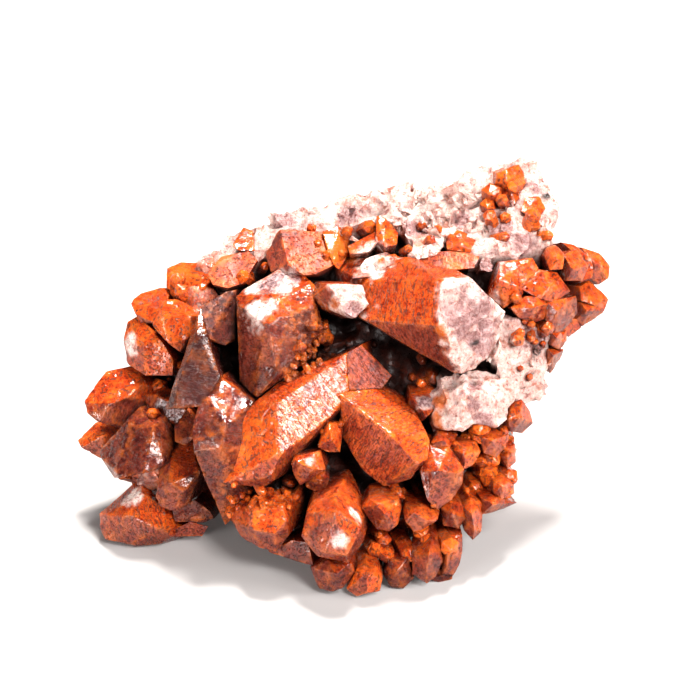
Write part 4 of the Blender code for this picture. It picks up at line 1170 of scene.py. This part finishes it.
class Socket:
    """A shader value: expressions on it add Math nodes to its tree."""

    def __init__(self, tree, socket):
        self.tree = tree
        self.socket = socket

    def maths(self, operation, first, second=None):
        node = self.tree.nodes.new("ShaderNodeMath")
        node.operation = operation
        for place, value in enumerate((first, second)):
            if isinstance(value, Socket):
                self.tree.links.new(value.socket, node.inputs[place])
            elif value is not None:
                node.inputs[place].default_value = value
        return Socket(self.tree, node.outputs[0])

    def __add__(self, other):
        return self.maths("ADD", self, other)

    def __radd__(self, other):
        return self.maths("ADD", other, self)

    def __sub__(self, other):
        return self.maths("SUBTRACT", self, other)

    def __rsub__(self, other):
        return self.maths("SUBTRACT", other, self)

    def __mul__(self, other):
        return self.maths("MULTIPLY", self, other)

    def __rmul__(self, other):
        return self.maths("MULTIPLY", other, self)

    def clipped(self):
        node = self.tree.nodes.new("ShaderNodeClamp")
        self.tree.links.new(self.socket, node.inputs[0])
        return Socket(self.tree, node.outputs[0])

    def most(self, other):
        return self.maths("MAXIMUM", self, other)


class Finish:
    """One material and the nodes that make it."""

    def __init__(self, name):
        self.material = bpy.data.materials.new(name)
        self.material.use_nodes = True
        self.tree = self.material.node_tree
        self.shader = self.tree.nodes["Principled BSDF"]

    def node(self, kind, settings=None, inputs=None, output=0):
        """Adds a node: its settings first, then the values or links of its sockets."""
        node = self.tree.nodes.new(kind)
        for name, value in (settings or {}).items():
            if name == "stops":
                ramp = node.color_ramp
                while len(ramp.elements) < len(value):
                    ramp.elements.new(0.5)
                for stop, (position, colour) in zip(ramp.elements, value):
                    stop.position = position
                    stop.color = (*colour, 1)
            else:
                setattr(node, name, value)
        for name, value in (inputs or {}).items():
            self.feed(node.inputs[name], value)
        return Socket(self.tree, node.outputs[output])

    def feed(self, socket, value):
        if isinstance(value, Socket):
            self.tree.links.new(value.socket, socket)
        else:
            socket.default_value = value

    def attribute(self, name):
        return self.node("ShaderNodeAttribute", {"attribute_name": name}, output="Fac")

    def mixed(self, share, first, second):
        return self.node(
            "ShaderNodeMix", {"data_type": "RGBA"}, {0: share, 6: first, 7: second}, output=2)

    def give(self, **sockets):
        for name, value in sockets.items():
            self.feed(self.shader.inputs[name.replace("_", " ")], value)


# Colours of the quartz, and what they are used for. Each ramp runs over noise from 0 to 1.
RUST = (
    (0.36, (0.060, 0.006, 0.003)), (0.44, (0.22, 0.022, 0.006)),
    (0.51, (0.42, 0.052, 0.009)), (0.60, (0.66, 0.125, 0.018)),
)
# Plum: painted shade on faces turned from the light, and the colour of dark-toned crystals.
SHADED_PLUM = ((0.38, (0.035, 0.007, 0.006)), (0.48, (0.12, 0.025, 0.019)), (0.60, (0.28, 0.072, 0.050)))
SNOW = ((0.38, (0.20, 0.075, 0.062)), (0.45, (0.55, 0.34, 0.30)), (0.55, (0.84, 0.69, 0.62)))
GREY = ((0.40, (0.055, 0.026, 0.026)), (0.49, (0.24, 0.125, 0.125)), (0.58, (0.55, 0.38, 0.37)))
BROWN = (0.10, 0.018, 0.008, 1)  # the dull mottled coat of some crystals
BROWN_GLINTS = (0.50, 0.13, 0.04, 1)
MAROON = (0.045, 0.006, 0.003, 1)  # in pits and grooves
AMBER_STAIN_AND_EDGE_GLOW = (0.66, 0.17, 0.022, 1)  # amber of the orange stains, and the painted glow of light through thin clear edges
ORANGE = (0.30, 0.05, 0.008, 1)
RUSTY_WHITE = (0.36, 0.085, 0.030, 1)
PINK = (0.33, 0.13, 0.10, 1)
NEARLY_BLACK = (0.03, 0.018, 0.016, 1)
CREVICE_SHADE = (0.020, 0.005, 0.003, 1)
BUMP_DEPTH = 0.0005  # in metres


def red_quartz():
    finish = Finish("red quartz")
    place = finish.node("ShaderNodeTexCoord", output="Object")

    def noise(size, detail=3.0, rough=0.55, at=place):
        """Noise from 0 to 1 whose lumps are about size millimetres across."""
        return finish.node("ShaderNodeTexNoise", None, {
            "Vector": at, "Scale": 1 / (size * MM), "Detail": detail, "Roughness": rough})

    def ramp(value, stops):
        return finish.node("ShaderNodeValToRGB", {"stops": stops}, {"Fac": value})

    def step(value, low, high):
        """0 at low, 1 at high and beyond."""
        return ((value - low) * (1 / (high - low))).clipped()

    prism, edge, tone, rust, pale, dull = (
        finish.attribute(name) for name in ("prism", "edge", "tone", "rust", "pale", "dull"))
    white, mauve, dark, orange, brown = (
        finish.attribute(name) for name in ("white", "mauve", "dark", "orange", "brown"))
    crevice, hollow = finish.attribute("crevice"), finish.attribute("hollow")
    grain = finish.node("ShaderNodeCombineXYZ", None, {
        letter.upper(): finish.attribute(f"grain_{letter}") * MM for letter in "xyz"})
    broad = noise(9.0)
    middling = noise(2.2, 4.0, 0.6)
    crisp = noise(0.95, 3.0, 0.6)
    fine = noise(0.45, 2.0, 0.7)
    dashes = noise(2.0, 3.0, 0.65, at=grain)
    grooves = step(dashes, 0.54, 0.58) * prism
    pits = step(crisp, 0.56, 0.60) * (1 - prism * 0.5)
    specks = step(fine, 0.58, 0.62)
    marked = grooves.most(pits)

    # Red crystal faces: rust red, with plum painted as shade on the faces turned from the light, and on
    # crystals of low tone.
    warmth = (0.52 + (broad - 0.5) * 0.25 + (middling - 0.5) * 0.15 + (crisp - 0.5) * 0.5 + tone * 0.03
              + (dashes - 0.5) * prism * 0.3 - grooves * 0.05 - pits * 0.06)
    painted_plum_shade = step(rust + tone * 0.35 + (middling - 0.5) * 0.2, 0.28, 0.02)
    red = finish.mixed(painted_plum_shade * 0.85, ramp(warmth, RUST), ramp(warmth, SHADED_PLUM))
    red = finish.mixed(brown * 0.8, red, BROWN)
    red = finish.mixed(brown * step(middling * 0.5 + crisp * 0.5, 0.51, 0.55), red, BROWN_GLINTS)
    red = finish.mixed((specks * 0.6 + marked * 0.75).clipped(), red, MAROON)
    # Painted glow: near edges the red turns amber, for light shining through thin clear edges.
    red = finish.mixed(edge * step(middling, 0.42, 0.60) * 0.4, red, AMBER_STAIN_AND_EDGE_GLOW)

    # Broken quartz: white, with rusty, mauve and dark places.
    crumbs = middling * 0.3 + crisp * 0.4 + fine * 0.3
    stained = step(noise(3.2, 4.0, 0.7), 0.55, 0.64)
    snow = finish.mixed(stained * 0.7, ramp(crumbs, SNOW), RUSTY_WHITE)
    snow = finish.mixed((mauve + step(broad, 0.56, 0.62) * 0.4).clipped(), snow, ramp(crumbs, GREY))
    snow = finish.mixed(pale * 0.3, snow, PINK)
    snow = finish.mixed(dark, snow, NEARLY_BLACK)

    # The white places include painted highlights on a few crystal faces; the rest are broken white quartz.
    broken_white_and_highlit = (pale + white).clipped()
    colour = finish.mixed(broken_white_and_highlit, red, snow)
    colour = finish.mixed(orange * 0.9, colour, finish.mixed(crisp, ORANGE, AMBER_STAIN_AND_EDGE_GLOW))
    # Painted shade: crevices and hollows, where the space round is mostly filled, are darkened nearly to
    # black; they are also rougher.
    painted_deep_shade = (step(crevice, 0.66, 0.90) * 0.8 + step(hollow, 0.61, 0.74) * 0.92).clipped()
    colour = finish.mixed(painted_deep_shade, colour, CREVICE_SHADE)
    shine = (0.08 + crisp * 0.12 + broken_white_and_highlit * 0.14 + marked * 0.2 + painted_deep_shade * 0.25 + dull * 0.35).clipped()
    raised = (crisp * (0.12 + brown * 1.2) + fine * 0.08 - grooves * (1 - broken_white_and_highlit) * 0.35 - pits * 0.55
              - specks * 0.15 + (crisp + fine * 0.5) * broken_white_and_highlit * 0.9)
    bump = finish.node("ShaderNodeBump", None, {
        "Strength": 1.0, "Distance": BUMP_DEPTH, "Height": raised})
    finish.give(Base_Color=colour, Roughness=shine, Normal=bump, IOR=1.48)
    finish.give(Subsurface_Weight=0.12, Subsurface_Scale=0.001, Subsurface_Radius=(1.0, 0.35, 0.2))
    return finish.material


def group_of(growth, across, up):
    """The piece that a large crystal goes into, by where its middle lies on the display plane."""
    if growth.name in LONG:
        return "block_crystals" if across < -16 else "long_crystals"
    if across < -26 and up < 24:
        return "left_crystals"
    if up < -10 and across < 22:
        return "front_crystals"
    return "upper_crystals" if up > 22 and across < 42 else "right_crystals"


def build_pieces():
    groups = {"left_crystals": [], "front_crystals": [], "right_crystals": [], "upper_crystals": [],
              "long_crystals": [], "block_crystals": []}
    for (across, up, _), growth in crystal_growths():
        groups[group_of(growth, across, up)].append(growth)
    core = Growth("body", [at_floor(*corner) for corner in BODY], (0, 0, 1), fine=COARSE)
    core.broken[:] = 1
    groups["broken_matrix"] = matrix_growths()
    groups["back_matrix"] = [core] + lumps()
    groups["small_crystals"], groups["side_crystals"] = small_crystals()
    shade = Shade([growth for growths in groups.values() for growth in growths])
    groups["fine_crystals"] = sprouts(shade)
    groups["broken_matrix"] += bits(shade)
    below = box_below_floor()
    finish = red_quartz()
    for name, growths in groups.items():
        piece = united(name, growths, shade, below)
        mend_marks(piece.data)
        stain(piece.data)
        shade.mark(piece.data)
        piece.data.shade_smooth()
        piece.data.set_sharp_from_angle(angle=CREASE)
        piece.data.materials.clear()
        piece.data.materials.append(finish)
        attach(piece, BODY_NAME)
        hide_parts(NODE)
    bpy.data.objects.remove(below)


build_pieces()


# Softboxes: (name, way to it from the middle of the floor, its two sides in metres, watts).
SOFTBOXES = (
    ("front softbox", (0.38, -0.62, 0.68), (0.28, 0.26), 7.5),
    ("right softbox", (0.85, -0.35, 0.5), (0.3, 0.3), 6.5),
    ("left softbox", (-0.63, -0.75, 0.21), (0.35, 0.35), 6),
)
SOFTBOX_REACH = 0.9  # by which those ways are scaled, in metres
LIT_MIDDLE = Vector((0, 0, 0.04))
SUNWARD = Vector((0.12, 0.40, 1.0))
FLOOR_HALF = 3.0
EYE_RAISED = 0.00675  # the eye's line passes this much above the display plane's middle, in metres


def aimed(way):
    """The turn of a lamp or camera that looks this way."""
    return way.to_track_quat("-Z", "Y").to_euler()


def build_floor():
    mesh = bpy.data.meshes.new("floor")
    corners = [(x * FLOOR_HALF, y * FLOOR_HALF, 0) for x, y in ((-1, -1), (1, -1), (1, 1), (-1, 1))]
    mesh.from_pydata(corners, [], [(0, 1, 2, 3)])
    floor = in_scene("floor", mesh)
    white = Finish("white floor")
    white.give(Base_Color=(0.44, 0.42, 0.41, 1), Roughness=0.9)
    white.give(Emission_Color=(1, 0.98, 0.97, 1), Emission_Strength=0.05)
    mesh.materials.append(white.material)


def build_lights():
    sun = bpy.data.lights.new("key", "SUN")
    sun.energy = 8.0
    sun.angle = math.radians(14)
    sun.color = (1, 0.98, 0.95)
    in_scene("key", sun).rotation_euler = aimed(-SUNWARD)
    for name, way, sides, watts in SOFTBOXES:
        softbox = bpy.data.lights.new(name, "AREA")
        softbox.shape = "RECTANGLE"
        softbox.size, softbox.size_y = sides
        softbox.energy = watts
        lamp = in_scene(name, softbox)
        lamp.location = Vector(way) * SOFTBOX_REACH
        lamp.rotation_euler = aimed(LIT_MIDDLE - lamp.location)
    world = bpy.data.worlds.new("studio")
    bpy.context.scene.world = world
    world.use_nodes = True
    background = world.node_tree.nodes["Background"]
    background.inputs["Color"].default_value = (1, 0.93, 0.88, 1)
    background.inputs["Strength"].default_value = 0.09


def build_camera():
    data = bpy.data.cameras.new("camera")
    data.lens = 180
    data.sensor_width = 36
    data.clip_start = 0.01
    camera = in_scene("camera", data)
    middle = Vector(at_display(0, 0, 0)) * MM
    camera.location = middle + Vector(UP) * EYE_RAISED + Vector(OUT) * (EYE * MM)
    camera.rotation_euler = aimed(-Vector(OUT))
    bpy.context.scene.camera = camera
    bpy.context.scene.view_settings.view_transform = "Standard"
    bpy.context.scene.view_settings.look = "Medium High Contrast"


build_floor()
build_lights()
build_camera()
